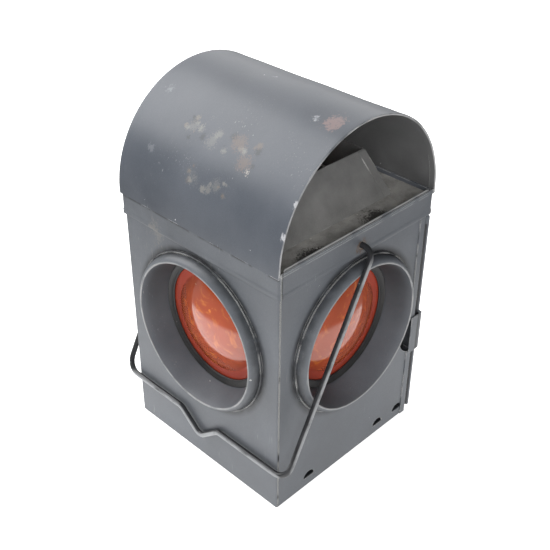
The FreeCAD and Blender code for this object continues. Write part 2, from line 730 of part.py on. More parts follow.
def spur_wheel(x):
    """Toothed wheel that grips the wick."""
    points = []
    for k in range(2 * SPUR_TEETH):
        radius = SPUR_R if k % 2 == 0 else SPUR_R - SPUR_TOOTH
        angle = math.pi * k / SPUR_TEETH
        points.append(V(x, SHAFT_Y + radius * math.cos(angle), SHAFT_Z + radius * math.sin(angle)))
    return prism(points, V(SPUR_T, 0, 0))


def winder_shaft():
    """Shaft with two spur wheels against the wick."""
    start = -SPUR_PITCH / 2 - SPUR_T
    shaft = Part.makeCylinder(SHAFT_R, KNOB_X + KNOB_T - start, V(start, SHAFT_Y, SHAFT_Z), V(1, 0, 0))
    for middle in (-SPUR_PITCH / 2, SPUR_PITCH / 2):
        shaft = shaft.fuse(spur_wheel(middle - SPUR_T / 2))
    return shaft


def winder_knob():
    """Fluted hand wheel on the end of the shaft."""
    knob = Part.makeCylinder(KNOB_R, KNOB_T, V(KNOB_X, SHAFT_Y, SHAFT_Z), V(1, 0, 0))
    knob = knob.cut(Part.makeCylinder(SHAFT_R, KNOB_T, V(KNOB_X, SHAFT_Y, SHAFT_Z), V(1, 0, 0)))
    for k in range(KNOB_FLUTES):
        angle = 2 * math.pi * k / KNOB_FLUTES
        at = V(KNOB_X, SHAFT_Y + KNOB_R * math.cos(angle), SHAFT_Z + KNOB_R * math.sin(angle))
        knob = knob.cut(Part.makeCylinder(KNOB_FLUTE_R, KNOB_T, at, V(1, 0, 0)))
    return knob


# ---------------------------------------------------------------- build

def main():
    os.makedirs("parts", exist_ok=True)
    save("front_wall", front_wall())
    save("rear_wall", rear_wall())
    save("left_wall", left_wall())
    save("door_frame", door_frame())
    save("base_plate", base_plate())
    save("cap_band", cap_band())
    save("top_deck", top_deck())
    save("chimney", chimney())
    save("hood", hood())
    glass, glass_back = lens()
    for side in SIDES:
        save("bezel_" + side, facing(bezel(), side))
        save("lens_ring_" + side, facing(lens_ring(), side))
        save("lens_" + side, facing(glass, side))
        save("lens_clip_" + side, facing(lens_clip(glass_back), side))
    save("bail", bail())
    save("door_panel", door_panel())
    save("door_pull", door_pull())
    save("hinge_leaf_body", Part.Compound([body_leaf(z) for z in HINGE_Z]))
    save("hinge_leaf_door", Part.Compound([door_leaf(z) for z in HINGE_Z]))
    save("hinge_pin", hinge_pins())
    save("hinge_rivets", rivets(body_rivet_places(), V(0, 1, 0)))
    save("door_rivets", rivets(door_rivet_places(), V(1, 0, 0)))
    save("oil_font", oil_font())
    save("font_neck", font_neck())
    save("font_fence", font_fence())
    save("burner_collar", burner_collar())
    save("burner_body", burner_body())
    save("burner_dome", burner_dome())
    save("wick_tube", wick_tube())
    save("wick", wick())
    save("winder_shaft", winder_shaft())
    save("winder_knob", winder_knob())


main()
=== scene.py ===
# %% [markdown]
# # A portable warning lantern
#
# The lantern is a folded sheet-metal box under a barrel hood, with four recessed bull's-eye
# glasses, a flue, a wire bail, a hinged door and an oil burner inside.  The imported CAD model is
# loaded first and stays as a fixed frame.  Every piece made here is drawn round it in the same
# metres, so nothing has to be fitted afterwards.

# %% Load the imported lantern
import json
import math
import random

import bmesh
import bpy
from mathutils import Matrix, Vector, noise


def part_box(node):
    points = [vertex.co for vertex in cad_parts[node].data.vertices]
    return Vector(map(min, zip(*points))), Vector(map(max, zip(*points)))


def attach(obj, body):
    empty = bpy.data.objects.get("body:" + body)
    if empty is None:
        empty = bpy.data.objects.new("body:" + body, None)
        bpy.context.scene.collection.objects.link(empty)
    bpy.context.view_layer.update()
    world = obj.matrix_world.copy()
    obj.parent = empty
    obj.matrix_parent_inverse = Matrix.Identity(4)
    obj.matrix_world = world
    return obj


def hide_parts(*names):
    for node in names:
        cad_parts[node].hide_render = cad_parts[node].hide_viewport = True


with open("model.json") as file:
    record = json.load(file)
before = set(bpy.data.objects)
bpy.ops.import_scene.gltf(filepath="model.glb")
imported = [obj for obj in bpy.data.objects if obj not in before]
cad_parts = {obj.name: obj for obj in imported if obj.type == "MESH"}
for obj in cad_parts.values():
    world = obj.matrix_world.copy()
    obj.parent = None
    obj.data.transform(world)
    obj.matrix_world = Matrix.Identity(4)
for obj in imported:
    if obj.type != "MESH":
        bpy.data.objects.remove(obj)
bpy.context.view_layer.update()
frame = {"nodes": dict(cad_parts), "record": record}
MM = 0.001

# %% [markdown]
# ## Camera
#
# A camera is a lens at a place, turned one way.  Its matrix holds three directions: across the
# picture, up the picture, and backwards out of it.  They follow from an azimuth, a height angle
# and a small roll, as a photographer would note them down.

# %% Camera
AZIMUTH = math.radians(-45.7953)
ELEVATION = math.radians(33.8419)
ROLL = math.radians(0.5718)
CAMERA_PLACE = Vector((-0.43353, -0.41970, 0.54402))

back = Vector((
    math.sin(AZIMUTH) * math.cos(ELEVATION),
    -math.cos(AZIMUTH) * math.cos(ELEVATION),
    math.sin(ELEVATION)))
level = Vector((0, 0, 1)).cross(back).normalized()
rise = back.cross(level)
across = level * math.cos(ROLL) + rise * math.sin(ROLL)
upward = rise * math.cos(ROLL) - level * math.sin(ROLL)

lens_data = bpy.data.cameras.new("camera")
lens_data.lens = 60.27
lens_data.sensor_width = 36
camera = bpy.data.objects.new("camera", lens_data)
bpy.context.scene.collection.objects.link(camera)
turn = Matrix((across, upward, back)).transposed().to_4x4()
camera.matrix_world = Matrix.Translation(CAMERA_PLACE) @ turn
bpy.context.scene.camera = camera
bpy.context.scene.view_settings.view_transform = "Standard"
print("camera at", [round(v, 3) for v in CAMERA_PLACE])

# %% [markdown]
# ## Small helpers for node trees
#
# Materials and Geometry Nodes are both trees of nodes.  One helper adds a node, sets its plain
# values and links the sockets it is handed.  A linked socket knows the tree it is in, so the steps
# below are written like sums and each finds its own tree.

# %% Node helpers
SOCKET = bpy.types.NodeSocket


def put(tree, kind, inputs=None, **settings):
    """Adds one node.  A value that is a socket is linked, anything else is set."""
    node = tree.nodes.new(kind)
    for key, value in settings.items():
        setattr(node, key, value)
    for key, value in (inputs or {}).items():
        if isinstance(value, SOCKET):
            tree.links.new(value, node.inputs[key])
        else:
            node.inputs[key].default_value = value
    return node


def home(*values):
    """The tree that a step belongs to: the one its first linked socket is in."""
    return next(value.id_data for value in values if isinstance(value, SOCKET))


def calc(operation, a, b=0.0, c=0.0):
    """One Math node."""
    return put(home(a, b, c), "ShaderNodeMath", {0: a, 1: b, 2: c}, operation=operation).outputs[0]


def times(a, b):
    return calc("MULTIPLY", a, b)


def plus(a, b):
    return calc("ADD", a, b)


def minus(a, b):
    return calc("SUBTRACT", a, b)


def most(a, b):
    return calc("MAXIMUM", a, b)


def spread(value, low, high, to_low=0.0, to_high=1.0):
    """Stretches a band of values to a new range, and holds it there."""
    inputs = {0: value, 1: low, 2: high, 3: to_low, 4: to_high}
    return put(home(value), "ShaderNodeMapRange", inputs, interpolation_type="SMOOTHSTEP").outputs[0]


def close_to(a, b, core, edge):
    """A mask: full where one value is near another, and gone at the edge."""
    return minus(1.0, spread(calc("ABSOLUTE", minus(a, b)), core, edge))


def vector(operation, a, b=(0, 0, 0)):
    """One Vector Math node: its vector, or its number where the operation gives one."""
    second = 3 if operation == "SCALE" else 1
    node = put(home(a), "ShaderNodeVectorMath", {0: a, second: b}, operation=operation)
    return node.outputs["Value" if operation in ("DOT_PRODUCT", "DISTANCE", "LENGTH") else "Vector"]


def parts_of(place):
    """The three numbers of a vector."""
    return put(home(place), "ShaderNodeSeparateXYZ", {0: place}).outputs


def clouds_at(place, scale, detail=2.0, **more):
    """The value of a Noise texture."""
    inputs = {"Vector": place, "Scale": scale, "Detail": detail, **more}
    return put(home(place), "ShaderNodeTexNoise", inputs).outputs[0]


def shade(value):
    """A neutral grey, or a colour given as three numbers, with full alpha.  A socket stays as it is."""
    if isinstance(value, SOCKET):
        return value
    return (value, value, value, 1.0) if isinstance(value, float) else (*value, 1.0)


def blend(amount, first, second):
    """Mixes two colours by a mask."""
    inputs = {0: amount, 6: shade(first), 7: shade(second)}
    return put(home(amount), "ShaderNodeMix", inputs, data_type="RGBA").outputs[2]


print("helpers ready")

# %% [markdown]
# ## Effects that several finishes share
#
# Old paint on sheet metal shows the same few effects everywhere: broad faded clouds, small nicks,
# fine scratches, edges rubbed bright, dark seam lines, settled dust, and patches of rust or
# scuffing in known places.  Several also paint light and shade: painted shade round the bezels, under
# the hood's edge, beside the door and on faces that look down, and painted highlight lines on some
# crests.  Each effect is a shader node group that gives out a mask or a height, so every material can
# use it with values of its own.  A decorator turns a plain recipe into such a group: the recipe's
# inputs become the group's named inputs, and what it returns the outputs.

# %% From a recipe to a node group
def group(name, outputs, **inputs):
    """Makes a shader node group of a recipe, with the defaults given for its inputs."""
    def build(recipe):
        tree = bpy.data.node_groups.new(name, "ShaderNodeTree")
        for label, value in inputs.items():
            kind = "NodeSocketFloat" if isinstance(value, float) else "NodeSocketVector"
            name_of = label.replace("_", " ")
            tree.interface.new_socket(name=name_of, in_out="INPUT", socket_type=kind).default_value = value
        for label in outputs:
            tree.interface.new_socket(name=label, in_out="OUTPUT", socket_type="NodeSocketFloat")
        source, sink = put(tree, "NodeGroupInput"), put(tree, "NodeGroupOutput")
        for value, socket in zip(recipe(*source.outputs[:len(inputs)]), sink.inputs):
            tree.links.new(value, socket)
        return tree
    return build


def use(effect, place, **values):
    """Places an effect in a material, at a place, and gives its outputs."""
    return put(home(place), "ShaderNodeGroup", {0: place, **values}, node_tree=effect).outputs


# %% Group: clouds of faded paint
@group("faded_clouds", ["Mask"], Place=(0, 0, 0), Size=12.0, Bite=0.35)
def CLOUDS(place, size, bite):
    """Broad soft variation, as of paint that has faded unevenly."""
    return [spread(clouds_at(place, size, 5.0, Roughness=0.62), minus(0.5, bite), plus(0.5, bite))]


# %% Group: nicks and scratches
@group("nicks_and_scratches", ["Nicks", "Scratches"], Place=(0, 0, 0), Size=170.0, Share=0.1,
       Stretch=(1, 1, 0.06))
def NICKS(place, size, share, stretch):
    """Scattered chips broken out of a cell pattern, and thin scratches in one direction."""
    tree = home(place)
    rough = put(tree, "ShaderNodeTexNoise", {"Vector": place, "Scale": 900.0, "Detail": 2.0}).outputs["Color"]
    moved = vector("ADD", place, vector("SCALE", rough, 0.0022))
    cells = put(tree, "ShaderNodeTexVoronoi", {"Vector": moved, "Scale": size}).outputs
    lot = put(tree, "ShaderNodeSeparateColor", {0: cells["Color"]}).outputs
    chosen = calc("LESS_THAN", lot[0], share)
    dot = calc("LESS_THAN", cells["Distance"], calc("MULTIPLY_ADD", lot[1], 0.13, 0.04))
    lines = clouds_at(vector("MULTIPLY", place, stretch), 900.0, 3.0, Distortion=0.3)
    worn = clouds_at(place, 26.0, 3.0)
    return [times(chosen, dot), times(spread(lines, 0.64, 0.72), spread(worn, 0.5, 0.72))]


# %% Group: edges rubbed bare, and painted highlight lines
@group("rubbed_edges", ["Mask"], Place=(0, 0, 0), Width=0.0009, Share=0.5, Rub=0.0)
def EDGES(place, width, share, rub_and_highlight):
    """Where the surface bends sharply the paint is rubbed, more in some places than others; a stored rub value
    adds rubbed paint and painted highlight lines.
    """
    soft = put(home(place), "ShaderNodeBevel", {"Radius": width}, samples=4).outputs[0]
    true = put(home(place), "ShaderNodeNewGeometry").outputs["Normal"]
    bend = spread(minus(1.0, vector("DOT_PRODUCT", soft, true)), 0.004, 0.12)
    broken = clouds_at(place, 70.0, 6.0)
    limit = minus(1.0, share)
    kept = spread(broken, limit, plus(limit, 0.14))
    return [most(times(bend, kept), times(rub_and_highlight, spread(broken, 0.3, 0.55, 0.25, 1.0)))]


# %% Group: painted shade in the seams, and dark seam lines
HOOD_SIDE, WALL_SIDE = 0.0815, 0.0803
GAP_TOP = 0.186
SEAM_PLACE, SEAM_CORE, SEAM_EDGE = 0.0797, 0.0004, 0.0009


@group("painted_shade_and_seams", ["Mask"], Place=(0, 0, 0), Ring_Height=0.1263, Ring_Radius=0.066, Ring_Width=0.006,
       Line_Height=0.2126, Line_Width=0.0024, Gap_Place=0.0806, Gap_Width=0.0015)
def SHADE_AND_SEAMS(place, ring_height, ring_radius, ring_width, line_height, line_width, gap_place, gap_width):
    """Painted shade in a ring round each bezel, under the hood's edge and beside the door, and a dark line along
    the corner seams.
    """
    across, along, height = parts_of(place)
    x, y = calc("ABSOLUTE", across), calc("ABSOLUTE", along)
    sideways = calc("POWER", calc("MINIMUM", x, y), 2.0)
    radius = calc("SQRT", plus(sideways, calc("POWER", minus(height, ring_height), 2.0)))
    broken = clouds_at(place, 130.0, 4.0)
    # Painted shade in a ring round the bezel.
    ring = close_to(radius, ring_radius, 0.0, ring_width)
    ring = times(ring, spread(broken, 0.2, 0.6, 0.55, 1.0))
    # Painted shade under the hood's edge.
    line = close_to(height, line_height, 0.0, line_width)
    line = times(times(line, calc("GREATER_THAN", x, HOOD_SIDE)), spread(broken, 0.38, 0.56))
    # Painted shade in the door gap.
    beside = close_to(across, gap_place, times(gap_width, 0.7), gap_width)
    beside = times(beside, calc("LESS_THAN", height, GAP_TOP))
    # A dark line along the corner seam.
    seam = close_to(across, -SEAM_PLACE, SEAM_CORE, SEAM_EDGE)
    seam = times(seam, calc("GREATER_THAN", y, WALL_SIDE))
    return [most(most(most(ring, line), seam), beside)]


# %% Group: dust that settles, and painted shade on faces that look down
@group("dust_and_painted_shade", ["Tone"], Facing=(0, 0, 1), Amount=0.3)
def DUST_AND_SHADE(facing_way, amount):
    """Faces that look up are paler, with dust and painted top light; faces that look down are darker with painted
    shade.
    """
    return [spread(parts_of(facing_way)["Z"], -0.8, 0.8, minus(1.0, amount), plus(1.0, amount))]


# %% Group: a ragged patch in one place
@group("ragged_patch", ["Mask"], Place=(0, 0, 0), Centre=(0, 0, 0), Radius=0.01, Grain=240.0,
       Cover=0.5, Strength=0.6)
def PATCH(place, centre, radius, grain, cover, strength):
    """A torn-edged patch round one point, for rust, primer or scuffing."""
    near = minus(1.0, calc("DIVIDE", vector("DISTANCE", place, centre), radius))
    torn = clouds_at(place, grain, 5.0, Roughness=0.7)
    noisy = calc("MULTIPLY_ADD", torn, 1.6, clouds_at(place, 60.0, 3.0))
    edge = minus(2.25, cover)
    mask = spread(plus(noisy, times(near, 0.9)), edge, plus(edge, 0.25))
    return [times(times(mask, spread(near, 0.0, 0.15)), strength)]


# %% Group: surface grain
@group("paint_grain", ["Height", "Dust"], Place=(0, 0, 0), Waves=1.0, Pebble=1.0)
def GRAIN(place, waves, pebble):
    """Height for a bump: panel waves and the pebble of brushed paint; and fine dust."""
    fine = times(clouds_at(place, 420.0, 3.0, Roughness=0.55), times(pebble, 0.06))
    return [plus(times(clouds_at(place, 16.0, 1.0), waves), fine), clouds_at(place, 1500.0)]


print("groups:", [g.name for g in bpy.data.node_groups])

# %% [markdown]
# ## Paint
#
# One recipe makes every painted finish: a dark paint with faded clouds, dust, nicks, scratches and
# rubbed edges.  The body, hood, flue and bail differ only in the numbers, and in the patches that
# are laid over them.  The Principled shader stays in the material, where an exporter can read it.
# The recipe also paints shade into seams, throats and faces that look down, and highlight lines where a piece
# stores them.

# %% Start a material
def new_material(name):
    """A material with its Principled shader's inputs, and object coordinates to read."""
    material = bpy.data.materials.new(name)
    material.use_nodes = True
    tree = material.node_tree
    place = put(tree, "ShaderNodeTexCoord").outputs["Object"]
    return material, tree, tree.nodes["Principled BSDF"].inputs, place


def feed(shader, **values):
    """Links the shader's inputs; an underscore stands for a space in an input's name."""
    for key, value in values.items():
        home(value).links.new(value, shader[key.replace("_", " ")])


def point_value(tree, name):
    """A value stored on the points of a piece, such as wear, soot, painted shade or a painted highlight."""
    return put(tree, "ShaderNodeAttribute", attribute_name=name).outputs["Fac"]


def bump(height, strength, distance):
    """A normal from a height."""
    return put(home(height), "ShaderNodeBump", {
        "Height": height, "Strength": strength, "Distance": distance}).outputs[0]


# %% The recipe for paint
# Tone of the painted shade in seams and recesses, and of the dark corner seam lines.
SHADE_AND_SEAM_TONE = (0.012, 0.012, 0.013)


def paint(name, dark, light, bare, rough, nicks, rubbed, patches=(), waves=1.0, cloud_size=12.0,
          scratch_stretch=(1, 1, 0.06), relief=0.35, specular=0.5, edge_width=0.0009, shade_and_seam_lines=0.0, soot_and_shade=None):
    """Worn paint, with painted shade and painted highlights where a piece stores them.  A patch is (centre,
    radius, colour, cover, grain, strength), laid over in order.
    """
    material, tree, shader, place = new_material(name)
    clouds = use(CLOUDS, place, Size=cloud_size)["Mask"]
    grain = use(GRAIN, place, Waves=waves)
    nick, scratch = use(NICKS, place, Share=nicks, Stretch=scratch_stretch)
    edges = use(EDGES, place, Share=rubbed, Width=edge_width, Rub=point_value(tree, "rub_and_highlight"))["Mask"]
    # Dust and painted top light on faces that look up, painted shade on faces that look down.
    tone = use(DUST_AND_SHADE, put(tree, "ShaderNodeTexCoord").outputs["Normal"])["Tone"]
    dust_and_shade_tone = times(spread(grain["Dust"], 0.35, 0.75, 0.94, 1.08), tone)
    colour = vector("SCALE", blend(clouds, dark, light), dust_and_shade_tone)
    # Painted shade round the bezels, under the hood's edge and beside the door, and dark corner seam lines.
    if shade_and_seam_lines:
        colour = blend(times(use(SHADE_AND_SEAMS, place)["Mask"], shade_and_seam_lines), colour, SHADE_AND_SEAM_TONE)
    colour = blend(times(scratch, 0.35), colour, bare)
    for centre, radius, tint, cover, size, strength in patches:
        mask = use(PATCH, place, Centre=centre, Radius=radius, Cover=cover, Grain=size, Strength=strength)
        colour = blend(mask["Mask"], colour, tint)
    # Soot on the hood's inside and the flue's top; in the bezel throats this is painted shade.
    if soot_and_shade:
        ragged = times(point_value(tree, "soot_and_shade"), spread(grain["Dust"], 0.3, 0.6, 0.8, 1.0))
        colour = blend(ragged, colour, blend(clouds, *soot_and_shade))
    # Rubbed bare edges, and painted highlight lines where a piece stores a rub value.
    colour = blend(times(edges, 0.75), colour, bare)
    colour = blend(times(nick, 0.85), colour, bare)
    gloss = calc("MULTIPLY_ADD", scratch, 0.12, spread(clouds, 0.0, 1.0, rough - 0.05, rough + 0.07))
    normal = bump(minus(grain["Height"], times(nick, 0.08)), relief, 0.0012)
    feed(shader, Base_Color=colour, Roughness=gloss, Normal=normal)
    shader["Specular IOR Level"].default_value = specular
    return material


RUST = (0.085, 0.05, 0.028)
BARE = (0.42, 0.42, 0.41)

# %% Body paint
# On the body paint the soot tones only paint shade into the bezel throats.
body_paint = paint(
    "body_paint", dark=(0.060, 0.066, 0.075), light=(0.111, 0.120, 0.134), bare=BARE, rough=0.45,
    nicks=0.02, rubbed=0.62, shade_and_seam_lines=0.85, soot_and_shade=((0.019, 0.020, 0.022), (0.043, 0.044, 0.048)), patches=[
        ((0.0, -0.0826, 0.2035), 0.0095, RUST, 0.62, 420.0, 0.9),
        ((0.0, 0.0826, 0.2035), 0.0095, RUST, 0.62, 420.0, 0.9),
        ((-0.081, 0.045, 0.196), 0.03, (0.19, 0.175, 0.15), 0.3, 260.0, 0.35),
    ])

# %% Hood paint
SCUFF = (0.20, 0.195, 0.18)
DULL_BROWN = (0.16, 0.115, 0.09)
PRIMER = (0.30, 0.19, 0.17)
SCUFF_TINTS = [SCUFF, (0.15, 0.115, 0.092), (0.028, 0.030, 0.034), (0.17, 0.145, 0.12)]
BARREL_RADIUS, BARREL_CENTRE = 0.0826, 0.2170


def hood_spot(tilt, along):
    """A place on the hood's outside: degrees down from the crown to the left, millimetres forward."""
    tilt = math.radians(tilt)
    return (-BARREL_RADIUS * math.sin(tilt), along * MM, BARREL_CENTRE + BARREL_RADIUS * math.cos(tilt))


def scuffs(seed, count, tilts, alongs):
    """A cluster of small scuffs: pale, brown and dark ones, thrown by a seeded generator."""
    throw = random.Random(seed)
    return [(hood_spot(throw.uniform(*tilts), throw.uniform(*alongs)), throw.uniform(0.0025, 0.0075),
             throw.choice(SCUFF_TINTS), throw.uniform(0.38, 0.55), throw.uniform(700.0, 1400.0),
             throw.uniform(0.4, 0.7)) for _ in range(count)]


hood_paint = paint(
    "hood_paint", dark=(0.034, 0.040, 0.051), light=(0.072, 0.080, 0.095), bare=(0.5, 0.5, 0.5), rough=0.42,
    nicks=0.03, rubbed=0.5, cloud_size=9.0, waves=1.2, soot_and_shade=(0.050, 0.13),
    patches=scuffs(4, 22, (38, 51), (-38, 33)) + scuffs(9, 12, (60, 70), (-24, 15)) + [
        ((-0.057, 0.026, 0.277), 0.013, SCUFF, 0.42, 900.0, 0.35),
        ((-0.060, 0.004, 0.274), 0.015, SCUFF, 0.40, 900.0, 0.35),
        ((-0.055, -0.018, 0.279), 0.016, DULL_BROWN, 0.45, 900.0, 0.5),
        ((-0.062, -0.030, 0.272), 0.016, DULL_BROWN, 0.45, 900.0, 0.5),
        ((-0.066, -0.036, 0.267), 0.008, (0.42, 0.38, 0.34), 0.30, 900.0, 0.7),
        ((-0.0755, 0.006, 0.251), 0.013, SCUFF, 0.42, 900.0, 0.35),
        ((-0.0745, -0.015, 0.252), 0.012, SCUFF, 0.40, 900.0, 0.35),
        ((-0.0167, -0.0663, 0.2977), 0.015, PRIMER, 0.55, 420.0, 0.5),
        ((-0.0205, -0.0533, 0.2968), 0.008, (0.46, 0.47, 0.5), 0.5, 420.0, 0.5),
        ((0.0075, 0.0120, 0.299), 0.009, (0.8, 0.8, 0.8), 0.12, 900.0, 0.9),
        ((-0.073, 0.0534, 0.2563), 0.009, (0.22, 0.23, 0.25), 0.4, 420.0, 0.35),
        ((-0.0421, 0.0678, 0.288), 0.010, (0.24, 0.25, 0.27), 0.4, 420.0, 0.4),
        ((-0.0686, -0.0829, 0.2634), 0.006, (0.5, 0.5, 0.52), 0.5, 620.0, 0.7),
        ((-0.079, -0.0829, 0.243), 0.006, (0.5, 0.5, 0.52), 0.5, 620.0, 0.7),
    ])

# %% Sooted sheet
sooted_sheet = paint(
    "sooted_sheet", dark=(0.104, 0.103, 0.100), light=(0.20, 0.198, 0.192), bare=(0.42, 0.41, 0.40), rough=0.68,
    nicks=0.03, rubbed=0.5, cloud_size=26.0, specular=0.35, soot_and_shade=(0.05, 0.12))
deck_soot = paint(
    "deck_soot", dark=(0.145, 0.142, 0.134), light=(0.31, 0.30, 0.285), bare=(0.55, 0.54, 0.50), rough=0.85,
    nicks=0.30, rubbed=0.3, cloud_size=90.0, specular=0.2, relief=0.8, patches=[
        ((-0.045, -0.079, 0.213), 0.024, (0.035, 0.033, 0.030), 0.55, 700.0, 0.9),
        ((-0.005, -0.080, 0.213), 0.018, (0.12, 0.095, 0.065), 0.5, 700.0, 0.8),
        ((0.025, -0.077, 0.213), 0.024, (0.035, 0.033, 0.030), 0.6, 700.0, 0.9),
        ((0.055, -0.077, 0.213), 0.016, RUST, 0.45, 700.0, 0.7)])

# %% Bail wire and dark lens rings
bail_wire = paint(
    "bail_wire", dark=(0.008, 0.008, 0.009), light=(0.036, 0.037, 0.040), bare=(0.34, 0.35, 0.36), rough=0.34,
    nicks=0.16, rubbed=0.35, cloud_size=60.0, scratch_stretch=(1, 1, 1), relief=0.5)
dark_ring = paint(
    "dark_ring", dark=(0.012, 0.012, 0.013), light=(0.030, 0.029, 0.028), bare=(0.25, 0.25, 0.25), rough=0.42,
    nicks=0.04, rubbed=0.4, cloud_size=40.0, edge_width=0.0006)
print("painted finishes made")

# %% [markdown]
# ## Bare metal, cotton and glass
#
# The works inside are plain tinplate, tarnished brass, spring steel and a cotton wick.  The glass is
# moulded and coloured right through.  It lets part of the light in and scatters the rest back, so
# it glows orange even with a dark chamber behind it; its rim is thinner and looks redder.
# Bright streaks and glints of painted light in its colour stand in for light seen through it.

# %% Bare metals
def metal(name, clean, stained, rough, blotch=60.0):
    """Dull metal with stains that are rougher and less metallic than the clean parts."""
    material, _, shader, place = new_material(name)
    clouds = use(CLOUDS, place, Size=blotch, Bite=0.2)["Mask"]
    height = use(GRAIN, place, Waves=0.2, Pebble=2.0)["Height"]
    scratch = use(NICKS, place, Share=0.05, Stretch=(0.06, 1, 1))["Scratches"]
    colour = blend(times(scratch, 0.5), blend(clouds, clean, stained), clean)
    feed(shader, Base_Color=colour, Roughness=spread(clouds, 0.0, 1.0, rough, rough + 0.25),
         Metallic=spread(clouds, 0.0, 1.0, 1.0, 0.55), Normal=bump(height, 0.2, 0.001))
    return material


tinplate = metal("tinplate", (0.52, 0.50, 0.46), (0.20, 0.15, 0.10), 0.38)
burner_brass = metal("burner_brass", (0.62, 0.44, 0.18), (0.17, 0.11, 0.05), 0.34, blotch=110.0)
spring_wire = metal("spring_wire", (0.45, 0.43, 0.40), (0.16, 0.12, 0.09), 0.40, blotch=90.0)

# %% Wick cotton
CHAR_FROM, CHAR_FULL = 0.1035, 0.1065


def make_cotton():
    """Plain flat weave, charred towards the top."""
    material, tree, shader, place = new_material("wick_cotton")
    warp, weft = [
        put(tree, "ShaderNodeTexWave", {"Vector": place, "Scale": scale}, bands_direction=way).outputs["Fac"]
        for scale, way in ((420.0, "X"), (300.0, "Z"))]
    weave = times(warp, weft)
    char = spread(parts_of(place)["Z"], CHAR_FROM, CHAR_FULL)
    colour = blend(char, blend(weave, (0.42, 0.37, 0.28), (0.68, 0.62, 0.50)), (0.02, 0.018, 0.016))
    feed(shader, Base_Color=colour, Roughness=spread(weave, 0.0, 1.0, 0.95, 0.85),
         Normal=bump(weave, 0.6, 0.0004))
    return material


wick_cotton = make_cotton()

# %% Red glass
# Places of painted glints: small bright streaks of light painted into the glass colour.
GLINTS = [(-0.076, -0.003, 0.145), (-0.076, -0.015, 0.1445), (-0.076, -0.020, 0.140), (-0.031, -0.076, 0.1475),
          (-0.019, -0.076, 0.148), (0.03, 0.076, 0.146), (0.08, 0.012, 0.146)]


def make_glass():
    """Orange-red bull's-eye glass with a deeper rim, a few seeds, and flow-shaped streaks and glints of painted
    light.
    """
    material, tree, shader, place = new_material("red_glass")
    # Bright orange streaks of painted light, with painted glints added below.
    light_streaks_and_glints = spread(clouds_at(place, 46.0, 4.0, Distortion=3.4), 0.52, 0.72, 0.0, 0.55)
    seeds = use(NICKS, place, Share=0.03, Size=150.0)["Nicks"]
    for spot in GLINTS:
        glint = use(PATCH, place, Centre=spot, Radius=0.007, Grain=420.0, Cover=0.36, Strength=1.0)["Mask"]
        light_streaks_and_glints = most(light_streaks_and_glints, times(glint, 2.0))
    rim = spread(point_value(tree, "from_axis"), 0.74, 0.90)
    colour = blend(rim, blend(light_streaks_and_glints, (0.47, 0.080, 0.024), (0.85, 0.25, 0.04)), (0.46, 0.068, 0.038))
    film = use(CLOUDS, place, Size=45.0)["Mask"]
    feed(shader, Base_Color=blend(times(seeds, 0.5), colour, (1.0, 0.65, 0.4)),
         Roughness=spread(film, 0.0, 1.0, 0.05, 0.16), Normal=bump(clouds_at(place, 32.0, 0.0), 0.05, 0.002))
    shader["IOR"].default_value = 1.75
    shader["Transmission Weight"].default_value = 0.35
    return material


red_glass = make_glass()
FINISH = dict(
    body_paint=body_paint, hood_paint=hood_paint, sooted_sheet=sooted_sheet, bail_wire=bail_wire,
    dark_ring=dark_ring, red_glass=red_glass, spring_wire=spring_wire, tinplate=tinplate,
    burner_brass=burner_brass, wick_cotton=wick_cotton)
print("finishes:", sorted(FINISH))

# %% [markdown]
# ## Mesh helpers
#
# Sheet metal is easy to draw as a stack of outlines joined by quads: the outside going up, the
# inside coming down.  Outlines with rounded corners give real folds, which catch a line of light as
# a pressed edge does.  Holes are cut with Booleans afterwards, and weighted normals keep the large
# panels flat next to the small folds.

# %% Pieces from points
def stand(name, data):
    """An object in the scene, from its mesh or light."""
    thing = bpy.data.objects.new(name, data)
    bpy.context.scene.collection.objects.link(thing)
    return thing


def clean(mesh, slivers=False):
    """Merges doubled points, and turns the faces outwards."""
    shell = bmesh.new()
    shell.from_mesh(mesh)
    bmesh.ops.remove_doubles(shell, verts=shell.verts, dist=1e-6)
    if slivers:
        bmesh.ops.dissolve_degenerate(shell, edges=shell.edges, dist=1e-7)
    bmesh.ops.recalc_face_normals(shell, faces=shell.faces)
    shell.to_mesh(mesh)
    shell.free()


def piece_from(name, points, faces, slot_name, sharp=38.0):
    """A closed mesh object from points and faces, facing outwards, smooth except at sharp edges."""
    mesh = bpy.data.meshes.new(name)
    mesh.from_pydata([tuple(p) for p in points], [], faces)
    clean(mesh)
    mesh.shade_smooth()
    mesh.set_sharp_from_angle(angle=math.radians(sharp))
    mesh.materials.append(FINISH[slot_name])
    return stand(name, mesh)


def quads(around, rows, capped=True):
    """Faces between rows of points, and one over each end; or else the last row joins the first."""
    faces = []
    for row in range(rows - 1 if capped else rows):
        low, high = row * around, (row + 1) % rows * around
        faces += [(low + k, low + (k + 1) % around, high + (k + 1) % around, high + k) for k in range(around)]
    if capped:
        faces += [tuple(range(around)), tuple(range((rows - 1) * around, rows * around))]
    return faces


def settle(piece):
    """Turns a piece's live modifiers into its plain mesh."""
    bpy.context.view_layer.update()
    evaluated = piece.evaluated_get(bpy.context.evaluated_depsgraph_get())
    mesh = bpy.data.meshes.new_from_object(evaluated)
    piece.modifiers.clear()
    piece.data = mesh
    return piece


def flatten(piece, sharp=38.0):
    """Weighted normals, so that a big flat face isn't shaded by the small folds round it."""
    piece.data.set_sharp_from_angle(angle=math.radians(sharp))
    piece.modifiers.new("weighted", "WEIGHTED_NORMAL").keep_sharp = True
    return settle(piece)


def mark(piece, name, amount):
    """Stores a value, such as wear, soot, painted shade or a painted highlight, on every point of a piece; amount
    gives it for a place in millimetres.
    """
    marks = piece.data.attributes.new(name, "FLOAT", "POINT")
    marks.data.foreach_set("value", [float(amount(v.co / MM)) for v in piece.data.vertices])
    return piece


